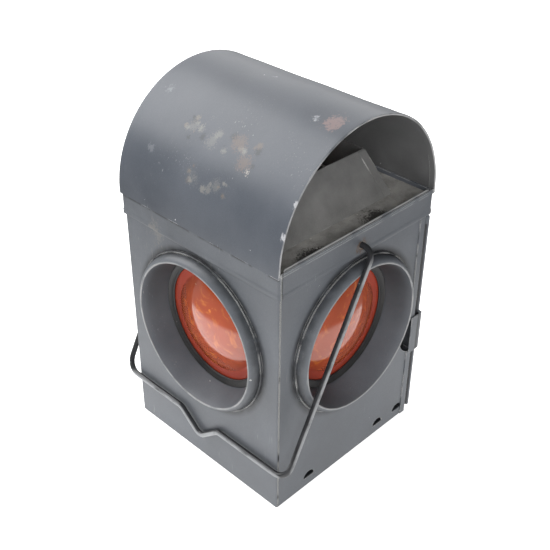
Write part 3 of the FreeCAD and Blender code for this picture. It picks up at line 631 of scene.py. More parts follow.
def done(piece, body, slot_name, *nodes):
    """Hands a finished piece to its body, and hides the CAD nodes that it stands for."""
    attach(piece, body)
    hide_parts(*nodes)
    print(piece.name, len(piece.data.polygons), "faces")


# %% Outlines and lofts
def rounded(x0, x1, y0, y1, radius, steps=6):
    """Rectangle with rounded corners, as points in order."""
    outline = []
    for cx, cy, start in ((x1 - radius, y1 - radius, 0), (x0 + radius, y1 - radius, 90),
                          (x0 + radius, y0 + radius, 180), (x1 - radius, y0 + radius, 270)):
        outline += arc(cx, cy, radius, start, start + 90, steps)
    return outline


def arc(cx, cy, radius, start, end, steps):
    """Points on a circular arc, angles in degrees."""
    turns = [math.radians(start + (end - start) * k / steps) for k in range(steps + 1)]
    return [(cx + radius * math.cos(turn), cy + radius * math.sin(turn)) for turn in turns]


def loft(name, levels, slot_name, capped=False, turn=Matrix(), sharp=38.0):
    """Quads between outlines.  A level is (x0, x1, y0, y1, corner radius, height), in millimetres."""
    points = [turn @ (Vector((x, y, level[5])) * MM) for level in levels for x, y in rounded(*level[:5])]
    return piece_from(name, points, quads(len(points) // len(levels), len(levels), capped), slot_name, sharp)


def extruded(name, outline, low, high, slot_name, turn=Matrix(), sharp=38.0):
    """Straight prism on a closed outline, in millimetres, from one height to another."""
    points = [turn @ (Vector((x, y, z)) * MM) for z in (low, high) for x, y in outline]
    return piece_from(name, points, quads(len(outline), 2), slot_name, sharp)


def block(x0, x1, y0, y1, low, high):
    """Square cutter."""
    return extruded("cutter", [(x0, y0), (x1, y0), (x1, y1), (x0, y1)], low, high, "body_paint")


# %% Cutting and joining
def drum(centre, axis, radius, length, steps=96, half=False):
    """Round cutter, or its upper half, whose middle is at centre (millimetres)."""
    turn = Matrix.Translation(Vector(centre) * MM) @ Vector(axis).to_track_quat("Z", "Y").to_matrix().to_4x4()
    outline = arc(0, 0, radius, 0, 180, steps // 2) if half else arc(0, 0, radius, 0, 360, steps)[:-1]
    return extruded("cutter", outline, -length / 2, length / 2, "body_paint", turn)


def cut(piece, cutters):
    """Takes each cutter out of a piece, then removes it."""
    for cutter in cutters:
        boolean = piece.modifiers.new("cut", "BOOLEAN")
        boolean.operation = "DIFFERENCE"
        boolean.solver = "EXACT"
        boolean.object = cutter
        settle(piece)
        bpy.data.objects.remove(cutter)


def join(name, pieces):
    """One object from several, with each piece's own normals kept."""
    bpy.ops.object.select_all(action="DESELECT")
    for piece in pieces:
        piece.select_set(True)
    bpy.context.view_layer.objects.active = pieces[0]
    bpy.ops.object.join()
    pieces[0].name = name
    return pieces[0]


print("mesh helpers ready")

# %% [markdown]
# ## Sizes taken from the CAD nodes
#
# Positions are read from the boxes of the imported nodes, so the skin made here lands exactly on the
# CAD parts.

# %% Sizes
def span(node):
    """Lowest and highest corner of a CAD node, in millimetres."""
    low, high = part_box(node)
    return low / MM, high / MM


left_low, left_high = span("left_wall")
front_low, front_high = span("front_wall")
band_low, band_high = span("cap_band")
hood_low, hood_high = span("hood")
door_low, door_high = span("door_panel")
bezel_low, bezel_high = span("bezel_left")
HALF = -left_low.x
DOORSIDE = front_high.x
BODY_TOP = left_high.z
SHEET = left_high.x - left_low.x
BAND_HALF = band_high.x
BAND_FOOT = band_low.z
HOOD_OUT = hood_high.x
HOOD_CENTRE = hood_high.z - HOOD_OUT
LENS_Z = (bezel_low.z + bezel_high.z) / 2
BEZEL_R = (bezel_high.z - bezel_low.z) / 2
DOOR_FACE = door_high.x
BEZEL_HOLE_R = 57.98
NOTCH_R = 18.0
NOTCH_Z = 85.0
PIVOT_Z = 204.0
print("door side", round(DOORSIDE, 2), "door from", door_low, "to", door_high, "hem", front_low.y)
print("half width", round(HALF, 2), "wall height", round(BODY_TOP, 2), "lens height", round(LENS_Z, 2))


def facing(side):
    """Turns a piece drawn round +Z at the origin to look out of one side of the lantern."""
    angle, distance = {
        "left": (180, HALF), "front": (270, HALF), "rear": (90, HALF), "door": (0, DOOR_FACE)}[side]
    outward = Matrix.Rotation(math.radians(90), 4, "Y")
    return (Matrix.Rotation(math.radians(angle), 4, "Z")
            @ Matrix.Translation(Vector((distance, 0, LENS_Z)) * MM) @ outward)


# %% [markdown]
# ## Walls
#
# The body is tinplate folded round four corners and soldered.  It is drawn as one tube with small
# corner radii, then the lens holes, doorway, half-moon air holes, bail holes and the finger notch
# are cut.  The front panel's free edge is folded back on itself into a hem that stands proud.

# %% Walls
CORNER = 1.6


def ring_of_walls(inset, height, trim=0.0):
    """One outline of the wall tube, inset by the sheet or eased at its edge."""
    edge = inset + trim
    return (-HALF + edge, DOORSIDE - edge, -HALF + edge, HALF - edge, max(CORNER - inset, 0.7), height)


def finger_notch():
    return drum((DOORSIDE, -HALF, NOTCH_Z), (0, 1, 0), NOTCH_R, 16.2, 64)


def wall_cutters():
    """Everything that is cut out of the walls."""
    tools = []
    for side in ("left", "front", "rear"):
        centre = facing(side) @ Vector((0, 0, 0)) / MM
        tools.append(drum(centre, (centre.x, centre.y, 0), BEZEL_HOLE_R, 20, 128))
    tools += [drum((x, 0, 8.5), (0, 1, 0), 6.0, 400, 48, half=True) for x in (-45.0, 39.5, 65.5)]
    tools += [drum((0, 0, PIVOT_Z), (0, 1, 0), 2.48, 400, 24), finger_notch()]
    tools += [block(-79.9, -79.2, side * 80.5, side * 82, 1.5, 230) for side in (-1, 1)]
    return tools + [block(70, 90, 8.0 - HALF, HALF - 8.0, 12, 188)]


walls = loft("body_skin", [
    ring_of_walls(0, 0.3, 0.05), ring_of_walls(0, 0.8), ring_of_walls(0, BODY_TOP - 0.4),
    ring_of_walls(0, BODY_TOP, 0.2), ring_of_walls(SHEET, BODY_TOP), ring_of_walls(SHEET, 0.3)], "body_paint")
cut(walls, wall_cutters())
flatten(walls)

# %% The folded hem
HEM_OUT = -front_low.y
HEM_EDGE = 0.38
hem_outline = rounded(DOORSIDE - 8.0, DOORSIDE - 2.0, -HEM_OUT, -HALF + 0.02, HEM_EDGE, 5)
hem = extruded("hem", hem_outline, 0.4, BAND_FOOT - 0.8, "body_paint")
cut(hem, [finger_notch()])
flatten(hem)
walls = join("body_skin", [walls, hem])
done(walls, "lamp", "body_paint", "front_wall", "rear_wall", "left_wall", "door_frame")

# %% [markdown]
# ## Cap band and gable lips
#
# A band wraps the top of the walls.  Its lower edge is turned under into a slightly thicker hem,
# which is why a fine line of light runs along it.  Across each gable a lip is folded inwards with
# slanted ends that tuck in under the hood.

# %% Cap band
def square(half, height, radius):
    """A square outline round the middle of the lantern."""
    return (-half, half, -half, half, radius, height)


BAND_OUTLINES = [
    (HALF + 0.02, BAND_FOOT + 0.4, 0.9), (BAND_HALF - 0.5, BAND_FOOT, 2.2),
    (BAND_HALF - 0.1, BAND_FOOT + 0.3, 2.2), (BAND_HALF, BAND_FOOT + 0.9, 2.2),
    (BAND_HALF, BAND_FOOT + 3.6, 2.2), (BAND_HALF - 0.35, BAND_FOOT + 4.2, 2.2),
    (BAND_HALF - 0.35, BAND_FOOT + 15.6, 2.2), (BAND_HALF - 0.1, BAND_FOOT + 18.0, 2.2),
    (BAND_HALF - 0.1, HOOD_CENTRE - 0.1, 2.2), (BAND_HALF - 0.6, HOOD_CENTRE, 2.2),
    (HALF + 0.02, HOOD_CENTRE, 0.9)]
band = loft("cap_band_skin", [square(*outline) for outline in BAND_OUTLINES], "body_paint", sharp=50)
cut(band, [drum((0, 0, PIVOT_Z), (0, 1, 0), 2.6, 400, 24)] + [
    block(-80.9, -80.2, side * 82.0, side * 83, 190, 230) for side in (-1, 1)])
flatten(band, 50)

# %% Gable lips
LIP_DEPTH = 3.2
LIP_STATIONS = 33


def gable_lip(way):
    """Folded lip with mitred ends, its outer edge rolled over."""
    top, foot = band_high.z, band_high.z - 3.6
    section = [(0.0, foot), (0.0, top - 1.6), (0.15, top - 1.1), (0.5, top - 0.9), (0.9, top - 1.1),
               (1.05, top - 1.9), (1.45, top - 2.0), (1.6, top - 0.6), (1.9, top - 0.1), (2.4, top),
               (2.9, top - 0.2), (LIP_DEPTH, top - 0.8), (LIP_DEPTH, foot)]
    points = []
    for k in range(LIP_STATIONS):
        t = 2 * k / (LIP_STATIONS - 1) - 1
        sag = 0.12 * noise.noise(Vector((t * 6, way * 3, 1.7)))
        for inset, z in section:
            reach = BAND_HALF - SHEET - 9.0 * inset / LIP_DEPTH
            points.append(Vector((t * reach, way * (BAND_HALF - inset - abs(sag)), z + min(sag, 0))) * MM)
    lip = flatten(piece_from("gable_lip", points, quads(len(section), LIP_STATIONS), "body_paint", 50), 50)
    # Rubbed paint and a painted highlight line along the rolled crest.
    return mark(lip, "rub_and_highlight", lambda p: 0.9 * (p.z > top - 1.15 and 0.3 < BAND_HALF - abs(p.y) < 2.6))


band = join("cap_band_skin", [band, gable_lip(-1), gable_lip(1)])
done(band, "lamp", "body_paint", "cap_band")

# %% [markdown]
# ## Hood
#
# The hood is one sheet rolled to a half barrel, open at both gables.  Its shape follows a rule: the
# same strip is repeated along an arc, so each strip is a closed outline of the sheet, thicker at
# the gables where the edge is folded under.  A few shallow dents, always inwards, keep the long
# reflections from running dead straight.

# %% Hood
DENTS = [
    ((-62, 12, 272), 17, 0.55), ((-52, -24, 280), 15, 0.5), ((-76, -5, 252), 16, 0.45),
    ((-30, 60, 293), 20, 0.5), ((-15, -55, 298), 12, 0.35), ((20, 20, 296), 24, 0.6),
    ((55, -40, 278), 18, 0.6), ((-80, -55, 235), 22, 0.45), ((74, 35, 250), 22, 0.6),
    ((-79, 60, 240), 20, 0.5)]
ARC_STEPS = 96


def there_and_back(near):
    """A run from the front gable to the middle, and its mirror image on to the rear gable."""
    return near + [(-y, depth) for y, depth in reversed(near)]


def hood_outline():
    """The sheet along the barrel: (y, depth under the outside), with folded gable edges."""
    end = BAND_HALF
    outer = [(end, 0.6), (end - 0.15, 0.18), (end - 0.5, 0.0)] + [(end - 4.0 - 4.0 * k, 0.0) for k in range(19)]
    fold = [(end, 1.1), (end - 0.15, 1.45), (end - 0.5, 1.6), (end - 5.0, 1.6), (end - 5.4, 0.95),
            (end - 6.0, 0.8)]
    inner = fold + [(end - 6.0 - 4.0 * k, 0.8) for k in range(1, 19)]
    return there_and_back(outer) + [(-y, depth) for y, depth in there_and_back(inner)]


def hood_point(station, y, depth):
    """A point of the hood: the skirt, then the arc, then the other skirt."""
    if station < 0:
        out, x, z = Vector((-1, 0, 0)), -HOOD_OUT, HOOD_CENTRE + station
    elif station > 180:
        out, x, z = Vector((1, 0, 0)), HOOD_OUT, HOOD_CENTRE - (station - 180)
    else:
        angle = math.radians(180 - station)
        out = Vector((math.cos(angle), 0, math.sin(angle)))
        x, z = HOOD_OUT * out.x, HOOD_CENTRE + HOOD_OUT * out.z
    here = Vector((x, y, z))
    dent = sum(deep * math.exp(-((here - Vector(at)).length / wide) ** 2) for at, wide, deep in DENTS)
    swell = 0.14 * (1 + noise.noise(here * 0.035))
    hold = min(1.0, (BAND_HALF - abs(y)) / 8.0) * min(1.0, max(0.0, (z - HOOD_CENTRE) / 12.0))
    return (here - out * (depth + (dent + swell) * hold)) * MM


def faces_inwards(vertex):
    """Whether a point's normal looks into the barrel."""
    return vertex.normal.dot(Vector((vertex.co.x, 0, max(vertex.co.z - HOOD_CENTRE * MM, 0)))) < 0


def make_hood():
    outline = hood_outline()
    skirt = HOOD_CENTRE - hood_low.z
    stations = [-skirt, -skirt + 0.5] + [180 * k / ARC_STEPS for k in range(ARC_STEPS + 1)]
    stations += [180 + skirt - 0.5, 180 + skirt]
    points = [hood_point(station, y, depth) for station in stations for y, depth in outline]
    faces = quads(len(outline), len(stations))
    barrel = flatten(piece_from("hood_barrel", points, faces, "hood_paint", 50), 50)
    # Rubbed paint, partly a painted highlight, along the gable edges.
    mark(barrel, "rub_and_highlight", lambda p: 0.6 * (abs(p.y) > BAND_HALF - 0.3 and p.z > HOOD_CENTRE))
    soot_and_shade = barrel.data.attributes.new("soot_and_shade", "FLOAT", "POINT")
    soot_and_shade.data.foreach_set("value", [float(faces_inwards(v)) for v in barrel.data.vertices])
    return barrel


done(make_hood(), "lamp", "hood_paint", "hood")

# %% [markdown]
# ## Flue
#
# Under the hood stands a tapering square flue, cut from four plates.  Two plates lap over the
# others at the hips.

# %% Flue
flue_low, flue_high = span("chimney")
FLUE_FOOT, FLUE_TOP = flue_low.z, flue_high.z
foot_half, top_half = flue_high.x, 44.0
flue = loft("flue_skin", [
    square(foot_half - 0.1, FLUE_FOOT, 1.4), square(top_half + 0.4, FLUE_TOP - 0.4, 1.4),
    square(top_half, FLUE_TOP, 1.4), square(top_half - 0.87, FLUE_TOP, 0.8),
    square(foot_half - 0.95, FLUE_FOOT, 0.8)], "sooted_sheet")
flatten(flue)


def hip_strip(way):
    """The lap beside one hip of the front or rear plate, standing a sheet's thickness proud."""
    points = []
    for z, half in ((FLUE_FOOT + 0.2, foot_half - 0.2), (FLUE_TOP - 0.6, top_half + 0.5)):
        for inset, proud in ((0.3, 0.0), (0.3, 0.55), (7.6, 0.55), (8.0, 0.0)):
            points.append(Vector((half - inset, way * (half - 0.15 + proud), z)) * MM)
    return piece_from("lap", points, quads(4, 2), "sooted_sheet")


flue = join("flue_skin", [flue, hip_strip(-1), hip_strip(1)])
mark(flue, "soot_and_shade", lambda p: min(max((p.z - 221.0) / 22.0, 0.0), 0.75))
done(flue, "lamp", "sooted_sheet", "chimney")

# %% [markdown]
# ## Shapes that follow a rule
#
# Geometry Nodes make what is round, follows a path or repeats.  Another decorator turns a recipe
# into such a tree.  It gives the tree named inputs for its sizes, and always ends it in the same
# way: smooth shading, real geometry instead of instances, and a material.

# %% From a recipe to a Geometry Nodes tree
def step(kind, inputs, **settings):
    """One step of a Geometry Nodes tree, and what it hands on."""
    return put(home(*inputs.values()), "GeometryNode" + kind, inputs, **settings).outputs[0]


def position(tree):
    return put(tree, "GeometryNodeInputPosition").outputs[0]


def stored(tree, name, kind):
    """A value stored on the points that come in."""
    return put(tree, "GeometryNodeInputNamedAttribute", {"Name": name}, data_type=kind).outputs["Attribute"]


def shaper(name, source_name, **sizes):
    """Makes a Geometry Nodes tree of a recipe; an underscore stands for a space in an input's name."""
    def build(recipe):
        tree = bpy.data.node_groups.new(name, "GeometryNodeTree")

        def socket(label, kind, way="INPUT"):
            return tree.interface.new_socket(name=label, in_out=way, socket_type="NodeSocket" + kind)

        socket("Geometry", "Geometry", "OUTPUT")
        socket(source_name, "Geometry")
        for label, value in sizes.items():
            socket(label.replace("_", " "), "Int" if isinstance(value, int) else "Float").default_value = value
        socket("Finish", "Material")
        source, sink = put(tree, "NodeGroupInput"), put(tree, "NodeGroupOutput")
        shape = recipe(*source.outputs[:len(sizes) + 1])
        real = step("RealizeInstances", {0: step("SetShadeSmooth", {"Geometry": shape})})
        dressed = step("SetMaterial", {"Geometry": real, "Material": source.outputs["Finish"]})
        tree.links.new(dressed, sink.inputs[0])
        return tree
    return build


def shaped(name, points, edges, tree, values, slot_name, marks=None):
    """Runs a tree on a mesh of points in millimetres, with its inputs set by name, and keeps the mesh."""
    mesh = bpy.data.meshes.new(name)
    mesh.from_pydata([Vector(p) * MM for p in points], edges, [])
    for label, (kind, field, numbers) in (marks or {}).items():
        mesh.attributes.new(label, kind, "POINT").data.foreach_set(field, numbers)
    piece = stand(name, mesh)
    modifier = piece.modifiers.new(tree.name, "NODES")
    modifier.node_group = tree
    values = {**values, "Finish": FINISH[slot_name]}
    for item in tree.interface.items_tree:
        if item.in_out == "INPUT" and item.name in values:
            modifier[item.identifier] = values[item.name]
    return settle(piece)


def vector_of(x, y, z):
    return put(home(x), "ShaderNodeCombineXYZ", {0: x, 1: y, 2: z}).outputs[0]


# %% [markdown]
# ## Round parts by spinning a profile
#
# Bezels, rings and glasses are all round, so one tree spins a profile into a solid.  A grid
# supplies the points: across it they run along the profile, and up it they run round the circle.
# The profile comes in as plain points, so the same tree serves every round part.

# %% The spinning tree
@shaper("spin_profile", "Profile", Segments=128)
def SPIN(profile, segments):
    tree = home(profile)
    count = step("AttributeDomainSize", {0: profile})
    rows = plus(segments, 1.0)
    sheet = step("MeshGrid", {"Size X": 1.0, "Size Y": 1.0, "Vertices X": count, "Vertices Y": rows})
    across, up, _ = parts_of(position(tree))
    index = calc("ROUND", times(plus(across, 0.5), minus(count, 1.0)))
    along = put(
        tree, "GeometryNodeSampleIndex", {"Geometry": profile, "Index": index}, data_type="FLOAT_VECTOR")
    tree.links.new(position(tree), along.inputs["Value"])
    radius, _, height = parts_of(along.outputs[0])
    angle = times(plus(up, 0.5), 2 * math.pi)
    place = vector_of(times(radius, calc("COSINE", angle)), times(radius, calc("SINE", angle)), height)
    bent = step("SetPosition", {"Geometry": sheet, "Position": place})
    return step("MergeByDistance", {"Geometry": bent, "Distance": 1e-6})


def spun(name, profile, slot_name, segments=128, sharp=38.0):
    """Spins a closed profile of (radius, height) in millimetres round +Z."""
    ring = [(r, 0, h) for r, h in list(profile) + [profile[0]]]
    edges = [(k, k + 1) for k in range(len(ring) - 1)]
    piece = shaped(name, ring, edges, SPIN, {"Segments": segments}, slot_name)
    clean(piece.data, slivers=True)
    return flatten(piece, sharp)


# %% [markdown]
# ## Bezels, rings and glasses
#
# Each glass sits at the bottom of a deep cone.  The bezel is spun from one sheet: a low foot step
# lies on the wall, then the sheet rises in a rolled bead, turns over a crisp crest and runs down a
# smooth throat to the collar that holds the glass.  A dark ring with a rolled inner edge covers the
# rim of the glass, and the glass itself has a flat flange and a domed middle.

# %% Lens mounts
MOUTH_R = 59.0
CUP_R = 53.1
PROUD = 8.8
CUP_DEPTH = 13.3
COLLAR_DEPTH = 25.0
BEAD_WIDE, BEAD_TALL, BEAD_FOOT = 5.35, 7.2, 1.6
DOME_R, DOME_APEX, DOME_EDGE = 84.0, -5.3, 39.4
DOME_STEPS = 16
GLASS_VIEW_R = 47.4
THROAT_SHADE_FADE = 7.0


def bead(wide, tall, degrees):
    """Points on the bead's oval, at each of the angles."""
    return [(MOUTH_R + wide * math.cos(math.radians(a)), BEAD_FOOT + tall * math.sin(math.radians(a)))
            for a in degrees]


def bezel_profile():
    """Closed outline of the spun bezel, its crest eased to a small radius."""
    flange = [(65.9, 0.0), (65.9, 1.3), (65.5, 1.8), (64.9, 1.9), (64.5, 1.5), (64.3, 1.0)]
    crest = arc(MOUTH_R + 0.75, PROUD - 0.75, 0.75, 84, 194, 6)
    throat = [(MOUTH_R - 5.9 * t, PROUD - (PROUD + CUP_DEPTH) * t) for t in (0.09, 0.3, 0.55, 0.8, 0.97)]
    collar = [(CUP_R + 0.02, -CUP_DEPTH - 0.5), (CUP_R, -COLLAR_DEPTH), (CUP_R + 0.8, -COLLAR_DEPTH)]
    behind = [(CUP_R + 0.82, -CUP_DEPTH), (MOUTH_R + 0.1, PROUD - 2.6)]
    inside = bead(BEAD_WIDE - 0.8, BEAD_TALL - 0.8, range(80, -1, -10)) + [(63.5, 0.4), (64.6, 0.0)]
    return flange + bead(BEAD_WIDE, BEAD_TALL, range(0, 85, 6)) + crest + throat + collar + behind + inside


def ring_profile():
    """Dished ring with a rolled lip over the glass."""
    return [(CUP_R - 0.02, -CUP_DEPTH - 0.8), (CUP_R - 0.02, -CUP_DEPTH - 0.1),
            (CUP_R - 0.5, -CUP_DEPTH + 0.05), (50.6, -14.3)] + arc(48.2, -15.3, 0.8, 60, 270, 10) + [(50.0, -15.9)]


def glass_profile():
    """Flat flange, eased corner and domed middle; nearly flat behind."""
    steps = [DOME_EDGE * (k / DOME_STEPS) for k in range(DOME_STEPS + 1)]
    dome = [(r, DOME_APEX - DOME_R + math.sqrt(DOME_R ** 2 - r ** 2)) for r in steps]
    foot = dome[-1][1]
    ease = [(DOME_EDGE + 0.5, foot - 0.24), (DOME_EDGE + 1.1, foot - 0.41), (DOME_EDGE + 2.0, foot - 0.51)]
    flange = [(47.0, -16.45), (50.4, -16.6), (50.8, -17.0), (50.8, -20.6), (50.4, -21.0)]
    return dome + ease + flange + [(39.0, -21.0), (30.0, -20.6), (15.0, -20.2), (0.0, -20.1)]


def throat_shade(p):
    """How much painted shade a point of a throat gets: it grows with depth, is strongest on the roof and sides and
    fades out across the floor, which the dust tone leaves paler.
    """
    if math.hypot(min(abs(p.x), abs(p.y)), p.z - LENS_Z) >= MOUTH_R + 0.2:
        return 0.0
    face = DOOR_FACE if p.x > HALF + 1.0 - CUP_DEPTH and abs(p.y) < BEZEL_R + 1.0 else HALF
    depth = min(max((face + PROUD - 0.8 - max(abs(p.x), abs(p.y))) / THROAT_SHADE_FADE, 0.0), 1.0)
    floor_share = min(max((LENS_Z - p.z) / MOUTH_R, -1.0), 1.0)
    return depth * min(max(0.62 - 0.62 * floor_share, 0.0), 0.95)


for side in ("left", "front", "rear", "door"):
    for kind, profile, slot_name, segments, sharp in (
            ("bezel", bezel_profile(), "body_paint", 160, 40),
            ("lens_ring", ring_profile(), "dark_ring", 128, 40),
            ("lens", glass_profile(), "red_glass", 128, 70)):
        part = spun(f"{kind}_{side}_skin", profile, slot_name, segments, sharp)
        if kind == "lens":
            mark(part, "from_axis", lambda p: p.xy.length / GLASS_VIEW_R)
        elif kind == "bezel":
            # Rubbed paint and a painted highlight line along the bezel's crest.
            mark(part, "rub_and_highlight", lambda p: 0.6 * (p.z > 8.2 and p.xy.length < 60.3))
        part.data.transform(facing(side))
        if kind == "bezel":
            # Painted shade in the throat.
            mark(part, "soot_and_shade", throat_shade)
        done(part, "door" if side == "door" else "lamp", slot_name, f"{kind}_{side}")

# %% [markdown]
# ## Bail
#
# The bail is one length of wire bent to a handle: two arms, a cross wire and a notch in its middle
# that keeps it on a hook.  A Geometry Nodes tree follows the bend points, rounds each by its own
# radius and draws the wire along them, with a very slight unevenness, as hand-bent wire has.

# %% The wire tree
@shaper("bent_wire", "Route", Wire_Radius=0.0024, Unevenness=0.00008, Seed=3.0)
def WIRE(route, wire_radius, unevenness, seed):
    tree = home(route)
    line = step("MeshToCurve", {"Mesh": route})
    bend = stored(tree, "bend", "FLOAT")
    eased = step("FilletCurve", {"Curve": line, "Count": 9, "Radius": bend}, mode="POLY")
    steps = step("ResampleCurve", {"Curve": eased, "Length": 0.0022}, mode="LENGTH")
    section = step("CurvePrimitiveCircle", {"Resolution": 18, "Radius": wire_radius}, mode="RADIUS")
    wire = step("CurveToMesh", {"Curve": steps, "Profile Curve": section, "Fill Caps": True})
    uneven = put(tree, "ShaderNodeTexNoise", {"Scale": 90.0, "Detail": 2.0, "W": seed}, noise_dimensions="4D")
    swing = times(minus(uneven.outputs[0], 1.0), unevenness)
    push = vector("SCALE", put(tree, "GeometryNodeInputNormal").outputs[0], swing)
    return step("SetPosition", {"Geometry": wire, "Offset": push})


# %% Bail
WIRE_R = 2.4
ARM_Y = 93.0
REST_X = 84.0
CROSS_Z = 40.3
HOOK_AT, HOOK_HALF, HOOK_DEPTH, HOOK_R = 2.5, 21.5, 18.0, 7.0
STUB_END = HALF - SHEET - 5.0
BAIL_ROUTE = [
    ((0, -STUB_END, PIVOT_Z), 0.0), ((0, -ARM_Y, PIVOT_Z), 8.0), ((-REST_X, -ARM_Y, CROSS_Z), 12.0),
    ((-REST_X, HOOK_AT - HOOK_HALF, CROSS_Z), HOOK_R), ((-REST_X, HOOK_AT, CROSS_Z - HOOK_DEPTH), HOOK_R),
    ((-REST_X, HOOK_AT + HOOK_HALF, CROSS_Z), HOOK_R), ((-REST_X, ARM_Y, CROSS_Z), 12.0),
    ((0, ARM_Y, PIVOT_Z), 8.0), ((0, STUB_END, PIVOT_Z), 0.0)]
PEENED_HEAD = [(0.0, 0.0), (3.3, 0.0), (3.5, 0.3), (3.3, 0.8), (2.2, 1.15), (0.0, 1.2)]


def peened_end(way):
    """The hammered head that keeps one end of the wire in its hole."""
    head = spun("peened_end", PEENED_HEAD, "bail_wire", 32)
    inward = Vector((0, -way, 0)).to_track_quat("Z", "Y").to_matrix().to_4x4()
    head.data.transform(Matrix.Translation(Vector((0, way * STUB_END, PIVOT_Z)) * MM) @ inward)
    return head


handle = shaped(
    "bail_handle", [place for place, _ in BAIL_ROUTE], [(k, k + 1) for k in range(len(BAIL_ROUTE) - 1)], WIRE,
    {"Wire Radius": WIRE_R * MM, "Unevenness": 0.00025, "Seed": 3.0}, "bail_wire",
    {"bend": ("FLOAT", "value", [radius * MM for _, radius in BAIL_ROUTE])})
bail = join("bail_handle", [flatten(handle, 60), peened_end(-1), peened_end(1)])
# Rubbed bare wire and a painted highlight along the outer side of the arms and cross wire.
mark(bail, "rub_and_highlight", lambda p: 0.8 * (abs(p.y) > ARM_Y + 1.5 or p.x < -REST_X - 1.5))
done(bail, "bail", "bail_wire", "bail")

# %% [markdown]
# ## Door and pull
#
# The door is a shallow tray: a flat face with its four edges turned back.  It is lofted from the
# inside of the turned edge, over the fold and onto the face, then the lens hole is cut.  A groove
# behind the rim keeps the edge from looking like one thick slab.  The pull is a strip that wraps the
# door's free edge and laps over the front wall, where the half-moon notch leaves room for a finger.

# %% Door
DOOR_OUTLINES = [
    (3.0, DOOR_FACE - SHEET, 0.6), (1.2, DOOR_FACE - SHEET, 0.9), (2.0, door_low.x + 0.1, 0.9),
    (1.5, door_low.x, 1.0), (1.0, door_low.x + 0.4, 1.2), (0.15, door_low.x + 1.6, 1.6),
    (0.0, door_low.x + 2.0, 1.7), (0.0, DOOR_FACE - 1.3, 1.7), (0.15, DOOR_FACE - 0.7, 1.6),
    (0.55, DOOR_FACE - 0.2, 1.3), (1.2, DOOR_FACE, 0.9), (2.4, DOOR_FACE, 0.6)]


def door_ring(inset, x, radius):
    """One outline of the door tray, in the plane of the door; the height is its X."""
    return (door_low.y + inset, door_high.y - inset, door_low.z + inset, door_high.z - inset, radius, x)


door_turn = Matrix(((0, 0, 1, 0), (1, 0, 0, 0), (0, 1, 0, 0), (0, 0, 0, 1)))
door = loft("door_skin", [door_ring(*outline) for outline in DOOR_OUTLINES], "body_paint", True, door_turn, 50)
cut(door, [drum((DOOR_FACE, 0, LENS_Z), (1, 0, 0), BEZEL_HOLE_R, 20, 128)])
flatten(door, 50)
done(door, "door", "body_paint", "door_panel")

# %% Pull
pull_low, pull_high = span("door_pull")


def pull_outline():
    """The bent strip seen from above, with the tongue that fills the turned edge."""
    wall_y, face_x = pull_low.y, pull_high.x
    corner = arc(face_x - 1.6, wall_y + 1.6, 1.6, -90, 0, 8)
    outside = [(pull_low.x + 0.3, wall_y)] + corner + [(face_x, pull_high.y - 0.3), (face_x - 0.3, pull_high.y)]
    inside = [(DOOR_FACE, pull_high.y), (DOOR_FACE, door_low.y + 0.2),
              (door_low.x + SHEET, door_low.y + 0.2), (door_low.x + SHEET, wall_y + SHEET),
              (pull_low.x + 0.2, wall_y + SHEET), (pull_low.x, wall_y + 0.4)]
    return outside + inside


pull = extruded("pull_strip", pull_outline(), pull_low.z + 0.4, pull_high.z - 0.4, "body_paint")
soften = pull.modifiers.new("soften", "BEVEL")
soften.width = 0.35 * MM
soften.segments = 2
soften.limit_method = "ANGLE"
flatten(settle(pull), 50)
done(pull, "door", "body_paint", "door_pull")

# %% [markdown]
# ## Rivets
#
# The hinge leaves and the pull are riveted.  A rivet head is the same small form again and again,
# so Geometry Nodes place one head on each point, turn it to face outwards and vary its size a
# little, as hammered heads vary.

# %% The rivet tree
@shaper("rivet_heads", "Places", Head_Radius=0.0026, Head_Height=0.0011, Seed=5)
def RIVETS(places, head_radius, head_height, seed):
    tree = home(places)
    ball = put(tree, "GeometryNodeMeshUVSphere", {"Segments": 24, "Rings": 14, "Radius": 1.0}).outputs["Mesh"]
    x, y, z = parts_of(position(tree))
    form = vector_of(times(x, head_radius), times(y, head_radius), times(calc("MINIMUM", z, 0.9), head_height))
    head = step("SetPosition", {"Geometry": ball, "Position": form})
    points = step("MeshToPoints", {"Mesh": places})
    aim = put(tree, "FunctionNodeAlignRotationToVector", {
        "Vector": stored(tree, "out", "FLOAT_VECTOR")}, axis="Z").outputs[0]
    vary = put(tree, "FunctionNodeRandomValue", {"Seed": seed, 2: 0.93, 3: 1.0}, data_type="FLOAT").outputs[1]
    return step("InstanceOnPoints", {"Points": points, "Instance": head, "Rotation": aim, "Scale": vary})


# %% Rivets
HINGE_Z = (24.0, 171.0)
HINGE_STEP = 7.5
WALL_LEAF = (69.5, 81.8)
DOOR_LEAF = (85.3, 70.0)
PULL_LEAF = (85.3, -73.8)
PULL_STEP = 9.25


def rivet_row(name, places, out, body, node):
    """Rivet heads standing on a face, one at each place (millimetres)."""
    ways = {"out": ("FLOAT_VECTOR", "vector", [value for _ in places for value in out])}
    done(shaped(name, places, [], RIVETS, {"Seed": 5}, "body_paint", ways), body, "body_paint", node)


leaf_z = [z + step for z in HINGE_Z for step in (-HINGE_STEP, HINGE_STEP)]
rivet_row("hinge_rivet_heads", [(*WALL_LEAF, z) for z in leaf_z], (0, 1, 0), "lamp", "hinge_rivets")
rivet_row("door_rivet_heads", [(*DOOR_LEAF, z) for z in leaf_z] + [
    (*PULL_LEAF, NOTCH_Z + step) for step in (-PULL_STEP, PULL_STEP)], (1, 0, 0), "door", "door_rivets")

# %% [markdown]
# ## The parts whose CAD shape is right
#
# Font, burner, wick, fence, hinges, deck, base and spring clips keep their CAD shape and only get
# their finish.  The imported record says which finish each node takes; the deck, which catches the
# dirt that falls through the hood, has one of its own.

